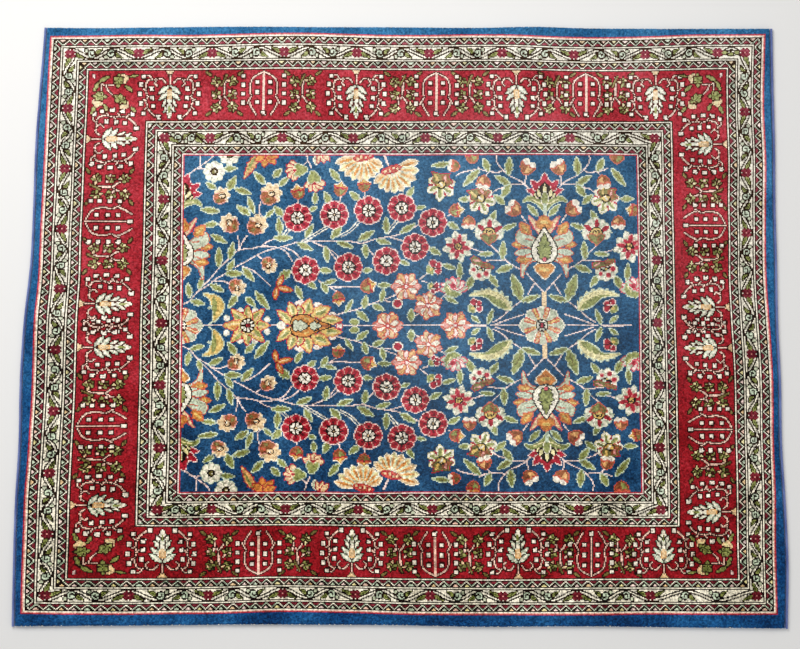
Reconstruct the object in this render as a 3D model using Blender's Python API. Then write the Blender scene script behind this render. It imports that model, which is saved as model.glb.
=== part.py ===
"""Knotted wool rug, lying flat: one woven body and the two overcast side edges.

Metres, +Z up. X runs along the rug's length, Y across it, and the underside lies at z = 0.
"""
import math
from collections import namedtuple

import bmesh
import bpy

# Overall size of the rug as it lies, measured over the overcast edges.
LENGTH = 1.528
WIDTH = 1.206

# Heights: the woven foundation carries the knots, and the pile stands on it.
FOUNDATION_HEIGHT = 0.003
PILE_HEIGHT = 0.007
RUG_HEIGHT = FOUNDATION_HEIGHT + PILE_HEIGHT

# Overcast edge: side cords wrapped with wool, a little lower than the pile.
OVERCAST_WIDTH = 0.0060
OVERCAST_HEIGHT = 0.0075
OVERCAST_FLAT = 0.0006
SEAM_GAP = 0.0004

# Rounding of the pile's rim: how far each level of the rim stands in, and how high it is.
RimLevel = namedtuple("RimLevel", "inset height")
RIM_LEVELS = [
    RimLevel(inset=0.0000, height=0.0),
    RimLevel(inset=0.0000, height=FOUNDATION_HEIGHT + 0.30 * PILE_HEIGHT),
    RimLevel(inset=0.0007, height=FOUNDATION_HEIGHT + 0.65 * PILE_HEIGHT),
    RimLevel(inset=0.0022, height=FOUNDATION_HEIGHT + 0.90 * PILE_HEIGHT),
    RimLevel(inset=0.0045, height=RUG_HEIGHT),
]

# How far each long side stands in from LENGTH / 2, from the lower end (share 0) to the upper (share 1).
# The weave draws in towards the upper left corner.
SideRow = namedtuple("SideRow", "share left right")
SIDE_ROWS = [
    SideRow(share=0.00, left=0.0004, right=0.0044),
    SideRow(share=0.10, left=0.0000, right=0.0000),
    SideRow(share=0.20, left=0.0008, right=0.0025),
    SideRow(share=0.30, left=0.0055, right=0.0075),
    SideRow(share=0.40, left=0.0050, right=0.0066),
    SideRow(share=0.50, left=0.0100, right=0.0097),
    SideRow(share=0.60, left=0.0208, right=0.0090),
    SideRow(share=0.70, left=0.0240, right=0.0096),
    SideRow(share=0.80, left=0.0255, right=0.0077),
    SideRow(share=0.90, left=0.0320, right=0.0083),
    SideRow(share=1.00, left=0.0390, right=0.0077),
]

# How far each end stands in from WIDTH / 2, from the left corner (share 0) to the right (share 1).
EndRow = namedtuple("EndRow", "share lower upper")
END_ROWS = [
    EndRow(share=0.00, lower=0.0042, upper=0.0018),
    EndRow(share=0.10, lower=0.0050, upper=0.0030),
    EndRow(share=0.20, lower=0.0060, upper=0.0012),
    EndRow(share=0.30, lower=0.0077, upper=0.0000),
    EndRow(share=0.40, lower=0.0072, upper=0.0010),
    EndRow(share=0.50, lower=0.0062, upper=0.0014),
    EndRow(share=0.60, lower=0.0030, upper=0.0026),
    EndRow(share=0.68, lower=0.0038, upper=0.0002),
    EndRow(share=0.74, lower=0.0040, upper=0.0036),
    EndRow(share=0.85, lower=0.0020, upper=0.0046),
    EndRow(share=1.00, lower=0.0000, upper=0.0044),
]

# Resolution of the outline and of the cord's section.
END_STEPS = 40
SIDE_STEPS = 32
CORD_STEPS = 6
CORD_RING = 14

# Plain colours, sRGB.
FIELD_BLUE = (0.16, 0.36, 0.62)
EDGE_LAVENDER = (0.36, 0.40, 0.66)
WOOL_ROUGHNESS = 0.95


def clear_scene():
    for obj in list(bpy.data.objects):
        bpy.data.objects.remove(obj, do_unlink=True)


def srgb_to_linear(channel):
    if channel <= 0.04045:
        return channel / 12.92
    return ((channel + 0.055) / 1.055) ** 2.4


def wool_material(name, srgb):
    material = bpy.data.materials.new(name)
    material.use_nodes = True
    shader = material.node_tree.nodes["Principled BSDF"]
    shader.inputs["Base Color"].default_value = [srgb_to_linear(c) for c in srgb] + [1.0]
    shader.inputs["Roughness"].default_value = WOOL_ROUGHNESS
    shader.inputs["Metallic"].default_value = 0.0
    return material


def smooth_value(rows, share, column):
    """Column of a table at a share, on a Catmull-Rom curve through its rows that never goes below zero."""
    last = len(rows) - 1
    index = 0
    while index < last - 1 and share > rows[index + 1].share:
        index += 1
    before = getattr(rows[max(index - 1, 0)], column)
    start = getattr(rows[index], column)
    finish = getattr(rows[index + 1], column)
    after = getattr(rows[min(index + 2, last)], column)
    t = (share - rows[index].share) / (rows[index + 1].share - rows[index].share)
    slope_in = 0.5 * (finish - before)
    slope_out = 0.5 * (after - start)
    value = (
        (2 * t**3 - 3 * t**2 + 1) * start
        + (t**3 - 2 * t**2 + t) * slope_in
        + (3 * t**2 - 2 * t**3) * finish
        + (t**3 - t**2) * slope_out
    )
    return max(value, 0.0)


def side_x(side, share):
    """X of a long side's outer face; side is -1 on the left and +1 on the right."""
    column = "left" if side < 0 else "right"
    return side * (LENGTH / 2 - smooth_value(SIDE_ROWS, share, column))


def end_y(end, x):
    """Y of an end's outer face; end is -1 at the lower end and +1 at the upper."""
    column = "lower" if end < 0 else "upper"
    share = min(max(x / LENGTH + 0.5, 0.0), 1.0)
    return end * (WIDTH / 2 - smooth_value(END_ROWS, share, column))


def side_point(side, share, inset):
    """Point on a long side, moved in by inset, between the two ends that meet it there."""
    x = side_x(side, share) - side * inset
    low = end_y(-1, x)
    high = end_y(1, x)
    return x, low + (high - low) * share


def body_outline():
    """The woven body's outline, anticlockwise from the lower left corner."""
    inset = OVERCAST_WIDTH + SEAM_GAP
    lower_left = side_point(-1, 0.0, inset)[0]
    lower_right = side_point(1, 0.0, inset)[0]
    upper_left = side_point(-1, 1.0, inset)[0]
    upper_right = side_point(1, 1.0, inset)[0]
    points = []
    for step in range(END_STEPS):
        x = lower_left + (lower_right - lower_left) * step / END_STEPS
        points.append((x, end_y(-1, x)))
    for step in range(SIDE_STEPS):
        points.append(side_point(1, step / SIDE_STEPS, inset))
    for step in range(END_STEPS):
        x = upper_right + (upper_left - upper_right) * step / END_STEPS
        points.append((x, end_y(1, x)))
    for step in range(SIDE_STEPS):
        points.append(side_point(-1, 1.0 - step / SIDE_STEPS, inset))
    return points


def inset_outline(points, inset):
    """An anticlockwise outline moved in by inset, with mitred corners."""
    count = len(points)
    moved = []
    for index, (x, y) in enumerate(points):
        before = points[index - 1]
        after = points[(index + 1) % count]
        normals = []
        for start, finish in ((before, (x, y)), ((x, y), after)):
            run = (finish[0] - start[0], finish[1] - start[1])
            length = math.hypot(*run)
            normals.append((-run[1] / length, run[0] / length))
        sum_x = normals[0][0] + normals[1][0]
        sum_y = normals[0][1] + normals[1][1]
        mitre = 2.0 * inset / (sum_x**2 + sum_y**2)
        moved.append((x + sum_x * mitre, y + sum_y * mitre))
    return moved


def skin_rings(mesh, rings):
    """Side faces between consecutive rings of vertices, and a face on each end ring."""
    count = len(rings[0])
    for lower, upper in zip(rings, rings[1:]):
        for index in range(count):
            after = (index + 1) % count
            mesh.faces.new((lower[index], lower[after], upper[after], upper[index]))
    mesh.faces.new(list(reversed(rings[0])))
    mesh.faces.new(rings[-1])


def finish_object(name, mesh, material):
    bmesh.ops.recalc_face_normals(mesh, faces=mesh.faces)
    data = bpy.data.meshes.new(name)
    mesh.to_mesh(data)
    mesh.free()
    data.materials.append(material)
    obj = bpy.data.objects.new(name, data)
    bpy.context.scene.collection.objects.link(obj)
    return obj


def build_body(material):
    """The woven piece: square foundation, with the pile's rim rounded over all the way round."""
    outline = body_outline()
    mesh = bmesh.new()
    rings = []
    for level in RIM_LEVELS:
        ring = inset_outline(outline, level.inset) if level.inset else outline
        rings.append([mesh.verts.new((x, y, level.height)) for x, y in ring])
    skin_rings(mesh, rings)
    return finish_object("rug_body", mesh, material)


def cord_shares():
    """Shares along a side where the cord has a section: close together on its rounded ends."""
    end_share = OVERCAST_WIDTH / WIDTH
    rounding = [
        end_share * (1.0 - math.cos(0.5 * math.pi * step / CORD_STEPS)) for step in range(CORD_STEPS)
    ]
    middle = [end_share + (1.0 - 2 * end_share) * step / SIDE_STEPS for step in range(SIDE_STEPS + 1)]
    return rounding + middle + [1.0 - share for share in reversed(rounding)]


def cord_width(share):
    """Width of the cord: full along the side, and a quarter round over its last few millimetres."""
    from_end = min(share, 1.0 - share) * WIDTH
    if from_end >= OVERCAST_WIDTH:
        return OVERCAST_WIDTH
    missing = 1.0 - from_end / OVERCAST_WIDTH
    return OVERCAST_WIDTH * max(math.sqrt(1.0 - missing**2), 0.30)


def cord_ring(mesh, side, share):
    """Round section of the cord, flattened where it lies on the floor."""
    width = cord_width(share)
    inner_x, y = side_point(side, share, OVERCAST_WIDTH)
    ring = []
    for step in range(CORD_RING):
        angle = 2.0 * math.pi * (step + 0.5) / CORD_RING
        across = 0.5 * width * (1.0 + math.cos(angle))
        height = 0.5 * OVERCAST_HEIGHT * (1.0 + math.sin(angle))
        if height < OVERCAST_FLAT:
            height = 0.0
        ring.append(mesh.verts.new((inner_x + side * across, y, height)))
    return ring


def build_overcast(name, side, material):
    mesh = bmesh.new()
    rings = [cord_ring(mesh, side, share) for share in cord_shares()]
    skin_rings(mesh, rings)
    return finish_object(name, mesh, material)


def build():
    clear_scene()
    build_body(wool_material("pile_wool", FIELD_BLUE))
    overcast_wool = wool_material("overcast_wool", EDGE_LAVENDER)
    build_overcast("overcast_left", -1, overcast_wool)
    build_overcast("overcast_right", 1, overcast_wool)


build()
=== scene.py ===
"""A knotted wool rug, lying flat: its pile knot by knot, its woven back, its sides and its end stitches.

The pile is charted as a weaver charts it, one number of dyed wool for each knot, and the chart is then laid
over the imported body, which draws in a little at one corner.
"""
import math
from collections import namedtuple

import bpy
import numpy as np
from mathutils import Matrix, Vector


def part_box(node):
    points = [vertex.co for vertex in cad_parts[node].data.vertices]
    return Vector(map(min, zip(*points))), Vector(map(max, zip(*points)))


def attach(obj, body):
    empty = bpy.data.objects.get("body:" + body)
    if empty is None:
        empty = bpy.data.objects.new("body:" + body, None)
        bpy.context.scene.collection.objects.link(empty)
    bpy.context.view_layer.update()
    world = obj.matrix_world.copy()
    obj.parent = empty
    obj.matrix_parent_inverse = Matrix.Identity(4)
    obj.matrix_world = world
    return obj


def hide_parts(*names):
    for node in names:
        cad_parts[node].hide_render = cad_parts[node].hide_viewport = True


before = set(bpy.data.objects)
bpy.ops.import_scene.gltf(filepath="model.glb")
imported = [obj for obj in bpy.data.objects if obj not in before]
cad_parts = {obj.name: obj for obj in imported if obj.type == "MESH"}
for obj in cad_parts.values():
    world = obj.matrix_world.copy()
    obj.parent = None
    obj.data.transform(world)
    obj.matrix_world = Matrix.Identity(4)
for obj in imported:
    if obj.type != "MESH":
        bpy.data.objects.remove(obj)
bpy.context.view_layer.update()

MM = 0.001
RANDOM_SEED = 71

# ---------------------------------------------------------------- sizes, in millimetres

# Knot spacing along the rug and across it, about 11 and 12 knots to the inch.
KNOT_X = 2.349
KNOT_Y = 2.135

# Knots across each part of the design.
FIELD_COLUMNS = 387
FIELD_ROWS_UNDER = 154
FIELD_ROWS_OVER = 161
GUARD_KNOTS = 34
MAIN_KNOTS = 47
INNER_GUARD_KNOTS = 33
BORDER_KNOTS = GUARD_KNOTS + MAIN_KNOTS + INNER_GUARD_KNOTS
EDGE_LEFT = 7
EDGE_RIGHT = 8
EDGE_LOWER = 9
EDGE_UPPER = 4
COLUMNS = EDGE_LEFT + BORDER_KNOTS + FIELD_COLUMNS + BORDER_KNOTS + EDGE_RIGHT
ROWS_UNDER = EDGE_LOWER + BORDER_KNOTS + FIELD_ROWS_UNDER
ROWS_OVER = FIELD_ROWS_OVER + BORDER_KNOTS + EDGE_UPPER
ROWS = ROWS_UNDER + ROWS_OVER

# The field's half length, and its reach each side of the design's axis.
FIELD_X = 0.5 * FIELD_COLUMNS * KNOT_X
FIELD_UNDER = FIELD_ROWS_UNDER * KNOT_Y
FIELD_OVER = FIELD_ROWS_OVER * KNOT_Y

# Where the chart's own origin lies on the rug: the middle of the field, on the design's axis.
CHART_X = 19.5
CHART_Y = -7.4


# ---------------------------------------------------------------- dyed wools and the knot chart

# Each wool's sRGB colour. Its place in the list is its number on the chart.
WOOLS = {
    "blue": "#183f62",
    "crimson": "#94161e",
    "red": "#a81e2c",
    "wine": "#5a0c16",
    "brick": "#701e28",
    "rose": "#cc4c56",
    "pink": "#e49a8c",
    "blush": "#f2d4c6",
    "shell": "#eec4ac",
    "salmon": "#c4543e",
    "orange": "#c87a36",
    "apricot": "#dca262",
    "gold": "#d8b260",
    "straw": "#e4d698",
    "peach": "#e6c290",
    "ivory": "#f2e8ce",
    "white": "#f2e6d0",
    "aqua": "#bcc0a0",
    "mint": "#c4d0b2",
    "olive": "#888c4a",
    "khaki": "#706432",
    "moss": "#4a5020",
    "brown": "#8e4e2c",
    "umber": "#2e0b06",
    "dark": "#180a03",
    "edge_blue": "#124676",
    "edge_light": "#3c70a4",
}
DYE = {name: number for number, name in enumerate(WOOLS)}


def smooth_curve(points, closed=False, steps=6):
    """Points along a Catmull-Rom curve through the given ones."""
    p = np.asarray(points, float)
    if closed:
        p = np.vstack([p[-1], p, p[0], p[1]])
    else:
        p = np.vstack([2 * p[0] - p[1], p, 2 * p[-1] - p[-2]])
    t = np.linspace(0.0, 1.0, steps, endpoint=False)[:, None]
    pieces = []
    for a, b, c, d in zip(p, p[1:], p[2:], p[3:]):
        bend = 2 * b + (c - a) * t + (2 * a - 5 * b + 4 * c - d) * t**2 + (3 * b - a - 3 * c + d) * t**3
        pieces.append(0.5 * bend)
    if not closed:
        pieces.append(p[-2][None])
    return np.vstack(pieces)


def distance_to_line(x, y, points, closed):
    """Distance from each place to a line of points, less than zero inside a closed one."""
    a = np.asarray(points, float)
    b = np.roll(a, -1, axis=0)
    if not closed:
        a, b = a[:-1], b[:-1]
    run = b - a
    from_x = x[:, None] - a[:, 0]
    from_y = y[:, None] - a[:, 1]
    share = (from_x * run[:, 0] + from_y * run[:, 1]) / np.maximum((run**2).sum(axis=1), 1e-12)
    share = np.clip(share, 0.0, 1.0)
    gap = np.hypot(from_x - share * run[:, 0], from_y - share * run[:, 1]).min(axis=1)
    if not closed:
        return gap
    spans = (a[:, 1] > y[:, None]) != (b[:, 1] > y[:, None])
    rise = np.where(run[:, 1] == 0, 1e-12, run[:, 1])
    crosses = spans & (from_x < from_y * run[:, 0] / rise)
    return np.where(crosses.sum(axis=1) % 2 == 1, -gap, gap)


class Chart:
    """A chart of knots: the number of each knot's wool, and where its columns and rows lie."""

    def __init__(self, dye, x, y):
        self.dye = dye
        self.x = np.asarray(x, float)
        self.y = np.asarray(y, float)

    def paint(self, points, closed, layers):
        """Dye the knots within each layer's reach of a line, the furthest reach first."""
        margin = max(reach for reach, dye in layers) + KNOT_X
        low = points.min(axis=0) - margin
        high = points.max(axis=0) + margin
        columns = slice(*np.searchsorted(self.x, (low[0], high[0])))
        rows = slice(*np.searchsorted(self.y, (low[1], high[1])))
        x, y = np.meshgrid(self.x[columns], self.y[rows])
        if x.size == 0:
            return
        gap = distance_to_line(x.ravel(), y.ravel(), points, closed).reshape(x.shape)
        knots = self.dye[rows, columns]
        for reach, dye in layers:
            knots[gap < reach] = DYE[dye]

    def stamp(self, x, y, picture, key):
        """Copy a small charted repeat on to the knots round a place. A full stop leaves a knot as it is."""
        column = int(np.abs(self.x - x).argmin()) - len(picture[0]) // 2
        row = int(np.abs(self.y - y).argmin()) + len(picture) // 2
        for down, line in enumerate(picture):
            for along, mark in enumerate(line):
                if mark != ".":
                    self.dye[row - down, column + along] = DYE[key[mark]]


class Pen:
    """Draws on a chart from a place of its own, turned by degrees, enlarged, and mirrored by hand -1."""

    def __init__(self, chart, x=0.0, y=0.0, turn=0.0, size=1.0, hand=1):
        self.chart = chart
        self.x = x
        self.y = y
        self.turn = turn
        self.size = size
        self.hand = hand

    def at(self, x, y, turn=0.0, size=1.0):
        """A pen at a place given in this pen's own measure."""
        place = self.place([(x, y)])[0]
        return Pen(self.chart, place[0], place[1], self.turn + self.hand * turn, self.size * size, self.hand)

    def turned(self, turn):
        """A pen at this pen's own place, turned."""
        return self.at(0, 0, turn)

    def place(self, points):
        p = np.asarray(points, float) * self.size * (1, self.hand)
        angle = math.radians(self.turn)
        x = p[:, 0] * math.cos(angle) - p[:, 1] * math.sin(angle)
        y = p[:, 0] * math.sin(angle) + p[:, 1] * math.cos(angle)
        return np.stack([x + self.x, y + self.y], axis=1)

    def fill(self, points, dye, rim=None, rim_knots=1.0):
        """A filled shape, with a rim of another wool round it."""
        layers = [(0.0, dye)]
        if rim:
            layers.insert(0, (rim_knots * KNOT_Y, rim))
        self.chart.paint(self.place(points), True, layers)

    def blob(self, points, dye, rim=None, rim_knots=1.0):
        """A filled shape with a smooth outline through a few points."""
        self.fill(smooth_curve(points, closed=True), dye, rim, rim_knots)

    def line(self, points, dye, knots=1.0, rim=None, rim_knots=1.0):
        """A smooth line some knots wide."""
        route = smooth_curve(points) if len(points) > 2 else np.asarray(points, float)
        reach = 0.52 * knots * KNOT_X
        layers = [(reach, dye)]
        if rim:
            layers.insert(0, (reach + rim_knots * KNOT_Y, rim))
        self.chart.paint(self.place(route), False, layers)

    def dot(self, x, y, radius, dye, rim=None, rim_knots=1.0):
        self.fill(oval(radius, radius) + (x, y), dye, rim, rim_knots)

    def stamp(self, x, y, picture, key):
        place = self.place([(x, y)])[0]
        self.chart.stamp(place[0], place[1], picture, key)


# ---------------------------------------------------------------- outlines of petals and leaves


def flipped(points, across, up=1):
    """Points mirrored by hand -1 across, up, or both."""
    return [(across * x, up * y) for x, y in points]


def whole(half, across=1, up=-1):
    """A closed outline from one half of it, which starts and ends on the line it is mirrored in."""
    return half + flipped(half[-2:0:-1], across, up)


def oval(half_length, half_width, steps=20):
    angle = np.linspace(0.0, 2 * np.pi, steps, endpoint=False)
    return np.stack([half_length * np.cos(angle), half_width * np.sin(angle)], axis=1)


def both_sides(upper):
    """A closed outline from its upper half, mirrored in the x axis."""
    p = np.asarray(upper, float)
    lower = p[::-1] * (1, -1)
    return np.vstack([p, lower[np.abs(lower[:, 1]) > 1e-9]])


def pointed(length, width, fullest=0.45, steps=12):
    """A leaf or petal from its foot at 0 to a point at length, widest at a share of it."""
    t = np.linspace(0.0, 1.0, steps)
    power = math.log(0.5) / math.log(fullest)
    half = 0.5 * width * np.clip(np.sin(np.pi * t**power), 0.0, 1.0) ** 0.85
    half[[0, -1]] = 0.0
    return both_sides(np.stack([t * length, half], axis=1))


def rounded(length, width, foot=0.25, steps=10):
    """A petal with a narrow foot and a round end."""
    angle = np.linspace(np.pi / 2, 0.0, steps)
    middle = 0.62 * length
    end = np.stack([middle + (length - middle) * np.cos(angle), 0.5 * width * np.sin(angle)], axis=1)
    start = [(0.0, 0.5 * width * foot), (0.3 * length, 0.5 * width * 0.72)]
    return both_sides(np.vstack([start, end]))


def lobed(radius, lobes, depth, steps=8):
    """A round shape with lobes round its edge."""
    angle = np.linspace(0.0, 2 * np.pi, lobes * steps, endpoint=False)
    reach = radius * (1.0 - depth * (1.0 - np.abs(np.cos(0.5 * lobes * angle))))
    return np.stack([reach * np.cos(angle), reach * np.sin(angle)], axis=1)


def saw_edged(length, width, teeth, depth=0.3):
    """A leaf with teeth that point to its tip."""
    upper = [(0.0, 0.0)]
    for tooth in range(teeth):
        t = (tooth + 0.35) / teeth
        half = 0.5 * width * math.sin(math.pi * min(t, 1.0) ** 0.8)
        upper.append((t * length, half))
        upper.append(((t + 0.25 / teeth) * length, half * (1.0 - depth)))
    upper.append((length, 0.0))
    return both_sides(upper)


# ---------------------------------------------------------------- stripes, zigzags and vines of the guards

Stripe = namedtuple("Stripe", "knots wool")

# From the outside in. A zigzag stripe is 7 knots of the charted repeat below.
GUARD_MIDDLE = [
    Stripe(1, "ivory"),
    Stripe(7, "zigzag"),
    Stripe(1, "ivory"),
    Stripe(1, "dark"),
    Stripe(11, "ivory"),
    Stripe(1, "dark"),
    Stripe(1, "ivory"),
    Stripe(7, "zigzag"),
]
OUTER_GUARD = [Stripe(1, "red"), Stripe(1, "pink"), *GUARD_MIDDLE, Stripe(1, "ivory"), Stripe(1, "dark")]
INNER_GUARD = [Stripe(1, "dark"), *GUARD_MIDDLE, Stripe(1, "blush"), Stripe(1, "red")]
OUTER_VINE_DEPTH = 17.5
INNER_VINE_DEPTH = GUARD_KNOTS + MAIN_KNOTS + 16.5

# One repeat of the zigzag, its outer row first. The small triangle t takes a new wool at each repeat.
ZIGZAG = [
    "kkkkkkkkk",
    "ttkkgkkkt",
    "tkkgkgkkk",
    "kkgkkkgkk",
    "kgkrrrkgk",
    "gkrrrrrkg",
    "kkkkkkkkk",
]
ZIGZAG_KEY = {"k": "dark", "r": "brick"}
ZIGZAG_TRIANGLES = ["mint", "blush", "peach", "mint", "shell", "straw", "blush"]
ZIGZAG_LINES = ["ivory", "ivory", "mint", "ivory", "mint"]
# The weaver's repeats run a little longer than nine knots: one knot is told twice in every 36.
ZIGZAG_STRETCH = 9 / 9.25

ROSETTE = [
    "..kk.kk..",
    ".krrkrrk.",
    "krrrkrrrk",
    "krkrrrkrk",
    ".kkrcrkk.",
    "krkrrrkrk",
    "krrrkrrrk",
    ".krrkrrk.",
    "..kk.kk..",
]
ROSETTE_KEY = {"k": "wine", "r": "brick", "c": "pink"}


def stripe_at(stripes, depth):
    """The stripe at a depth in knots, and how many knots into it that is."""
    for stripe in stripes:
        if depth < stripe.knots:
            return stripe, depth
        depth -= stripe.knots
    raise ValueError("depth is past the last stripe")


def zigzag_wool(row, place):
    place = int(place * ZIGZAG_STRETCH)
    mark = ZIGZAG[row][place % 9]
    if mark == "t":
        return ZIGZAG_TRIANGLES[(place + 4) // 9 % len(ZIGZAG_TRIANGLES)]
    if mark == "g":
        return ZIGZAG_LINES[(place // 4) % len(ZIGZAG_LINES)]
    return ZIGZAG_KEY[mark]


def ring_depth():
    """How many knots each knot lies inside the outer line, and its place along its side from the middle."""
    column = np.arange(COLUMNS)
    row = np.arange(ROWS)
    from_side = np.minimum(column - EDGE_LEFT, COLUMNS - EDGE_RIGHT - 1 - column)
    from_end = np.minimum(row - EDGE_LOWER, ROWS - EDGE_UPPER - 1 - row)
    depth = np.minimum(from_side[None, :], from_end[:, None])
    along_end = np.abs(column - EDGE_LEFT - (COLUMNS - EDGE_LEFT - EDGE_RIGHT) // 2)
    along_side = np.abs(row - EDGE_LOWER - (ROWS - EDGE_LOWER - EDGE_UPPER) // 2)
    on_end = from_end[:, None] <= from_side[None, :]
    along = np.where(on_end, along_end[None, :], along_side[:, None])
    return depth, along


def draw_stripes(chart, depth, along):
    """The plain edge, both guards' stripes and the main border's ground."""
    chart.dye[depth < 0] = DYE["edge_blue"]
    chart.dye[(depth >= GUARD_KNOTS) & (depth < GUARD_KNOTS + MAIN_KNOTS)] = DYE["crimson"]
    for stripes, first in ((OUTER_GUARD, 0), (INNER_GUARD, GUARD_KNOTS + MAIN_KNOTS)):
        for knots_in in range(sum(stripe.knots for stripe in stripes)):
            stripe, row = stripe_at(stripes, knots_in)
            here = depth == first + knots_in
            if stripe.wool == "zigzag":
                run = [DYE[zigzag_wool(row, place)] for place in range(COLUMNS)]
                chart.dye[here] = np.array(run)[along[here]]
            else:
                chart.dye[here] = DYE[stripe.wool]


# In one bend of a vine: the outline of its leaf, that leaf's vein, and the line of its curled flower.
BEND_LEAF = [(3.5, 0.0), (7, -1.0), (11, 3.0), (17.0, 9.0), (10, 8.0), (5, 6.0)]
BEND_VEIN = [(7, 3), (13, 7)]
BEND_CURL = [(4, 1), (1, -7), (-7, -8), (-12.5, -1.5), (-10, 6), (-3, 7.5), (2, 1.5), (-1.5, -3), (-6.5, -2),
             (-6, 2.5)]


def draw_bend(pen, outer, leaf_side):
    """A curled flower and a leaf inside one bend of a vine that leans to the outer side, +1 or -1."""
    pen.fill(flipped(BEND_LEAF, leaf_side, -outer), "olive", "dark", 0.9)
    pen.line(flipped(BEND_VEIN, leaf_side, -outer), "moss", knots=0.9)
    curl = flipped(BEND_CURL, leaf_side, -outer)
    pen.blob(curl[:7], "mint", "dark", 0.5)
    pen.line(smooth_curve(curl), "dark", knots=1.15)
    pen.dot(-leaf_side * 15, -outer * 7, 3.2, "aqua", "dark", 0.9)


# Where a vine turns between one rosette and the next: share of the way, and the side it leans to.
VineTurn = namedtuple("VineTurn", "share lean")
VINE_TURNS = [VineTurn(0.0, -1), VineTurn(0.35, 1), VineTurn(0.64, -1), VineTurn(1.0, 1)]
VINE_REACH = 8.6
VINE_STEPS = 14
# How far from a rosette's middle the leaf beside it starts, that leaf's outline and its vein.
ROSETTE_GAP = 8.0
FOOT_LEAF = [(0, -2.0), (5, -1.6), (9, 1.2), (14, 4.6), (19, 9.0), (12, 8.0), (6, 6.2), (0, 3.6)]
FOOT_VEIN = [(6, 2.6), (13, 6.5)]


def draw_double_line(pen, route):
    pen.line(route, "dark", knots=3.5)
    pen.line(route, "ivory", knots=1.15)


def draw_vine(pen, length, way):
    """A stretch of vine between two rosettes: a double line in three half waves, with a bud in two bends."""
    route = []
    for start, finish in zip(VINE_TURNS, VINE_TURNS[1:]):
        for step in range(VINE_STEPS):
            t = step / VINE_STEPS
            ease = 0.5 - 0.5 * math.cos(math.pi * t)
            share = start.share + (finish.share - start.share) * t
            lean = start.lean + (finish.lean - start.lean) * ease
            route.append((share * length, way * VINE_REACH * lean))
    route.append((length, way * VINE_REACH))
    draw_double_line(pen, route)
    for bend in VINE_TURNS[1:3]:
        draw_bend(pen.at(bend.share * length, 0), bend.lean * way, way)
    for foot, hand, free in ((ROSETTE_GAP, 1, way), (length - ROSETTE_GAP, -1, -way)):
        pen.fill([(foot + x, y) for x, y in flipped(FOOT_LEAF, hand, free)], "olive", "dark", 1.0)
        pen.line([(foot + x, y) for x, y in flipped(FOOT_VEIN, hand, free)], "moss", knots=1.2)


def draw_short_vine(pen, length, way):
    """A stretch too short for buds: one bend with a small leaf in it."""
    middle = 0.5 * length
    draw_double_line(pen, [(0, -way * VINE_REACH), (middle, way * VINE_REACH), (length, -way * VINE_REACH)])
    pen.fill([(middle - 6, -6 * way), (middle + 6, -6 * way), (middle, 2 * way)], "olive", "dark", 0.8)
    for foot, turn in ((ROSETTE_GAP, 0), (length - ROSETTE_GAP, 180)):
        pen.at(foot, 0, turn).fill(pointed(14, 8), "olive", "dark", 0.9)


def side_pen(chart, side, depth):
    """A pen on one side at a depth in knots from the outer line; y points inwards and x along the side."""
    inside = BORDER_KNOTS - depth
    if side == "upper":
        return Pen(chart, 0, FIELD_OVER + inside * KNOT_Y, hand=-1)
    if side == "lower":
        return Pen(chart, 0, -FIELD_UNDER - inside * KNOT_Y)
    if side == "left":
        return Pen(chart, -FIELD_X - inside * KNOT_X, 0, turn=90, hand=-1)
    return Pen(chart, FIELD_X + inside * KNOT_X, 0, turn=90)


# Rosettes of each vine, in millimetres along its side from the chart's origin, as one weaver spaced them.
VineRow = namedtuple("VineRow", "side depth first spacing count")
VINES = [
    VineRow("upper", OUTER_VINE_DEPTH, first=-548, spacing=146.5, count=9),
    VineRow("lower", OUTER_VINE_DEPTH, first=-541, spacing=144.5, count=8),
    VineRow("left", OUTER_VINE_DEPTH, first=-414, spacing=121.8, count=8),
    VineRow("right", OUTER_VINE_DEPTH, first=-422, spacing=121.8, count=8),
    VineRow("upper", INNER_VINE_DEPTH, first=-405, spacing=145.5, count=6),
    VineRow("lower", INNER_VINE_DEPTH, first=-392, spacing=144.5, count=6),
    VineRow("left", INNER_VINE_DEPTH, first=-243, spacing=124.5, count=5),
    VineRow("right", INNER_VINE_DEPTH, first=-243, spacing=124.5, count=5),
]


def corner_of(side, depth):
    """How far along a side its two corners lie, at a depth in knots from the outer line."""
    inside = BORDER_KNOTS - depth
    if side in ("upper", "lower"):
        return -FIELD_X - inside * KNOT_X, FIELD_X + inside * KNOT_X
    return -FIELD_UNDER - inside * KNOT_Y, FIELD_OVER + inside * KNOT_Y


# The shortest gap between two rosettes that holds a full stretch of vine, and a short one.
FULL_VINE = 75
SHORT_VINE = 40


def draw_guard_vine(chart, row):
    """One side's vine in one guard, with a rosette between its stretches and at both corners."""
    pen = side_pen(chart, row.side, row.depth)
    corners = corner_of(row.side, row.depth)
    stops = [row.first + row.spacing * number for number in range(row.count)]
    stops = [corners[0], *stops, corners[1]]
    way = 1
    for start, finish in zip(stops, stops[1:]):
        if finish - start > FULL_VINE:
            draw_vine(pen.at(start, 0), finish - start, way)
            way = -way
        elif finish - start > SHORT_VINE:
            draw_short_vine(pen.at(start, 0), finish - start, way)
    for stop in stops:
        pen.stamp(stop, 0, ROSETTE, ROSETTE_KEY)


# ---------------------------------------------------------------- motifs of the main border

BLOSSOM = [(-3.9, -3.4), (-1.6, -3.8), (3.4, -3.6), (3.0, 1.4), (4.0, 3.8), (-3.4, 3.6)]


def draw_blossoms(pen, places):
    """Small white blossoms, all the same way up."""
    for x, y in places:
        pen.fill([(x + dx, y + dy) for dx, dy in BLOSSOM], "white", "umber", 1.2)


def draw_twig(pen, route, knots=1.0, rim_knots=1.0):
    """A pale stem between two dark lines."""
    pen.line(route, "shell", knots, "umber", rim_knots)


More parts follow.
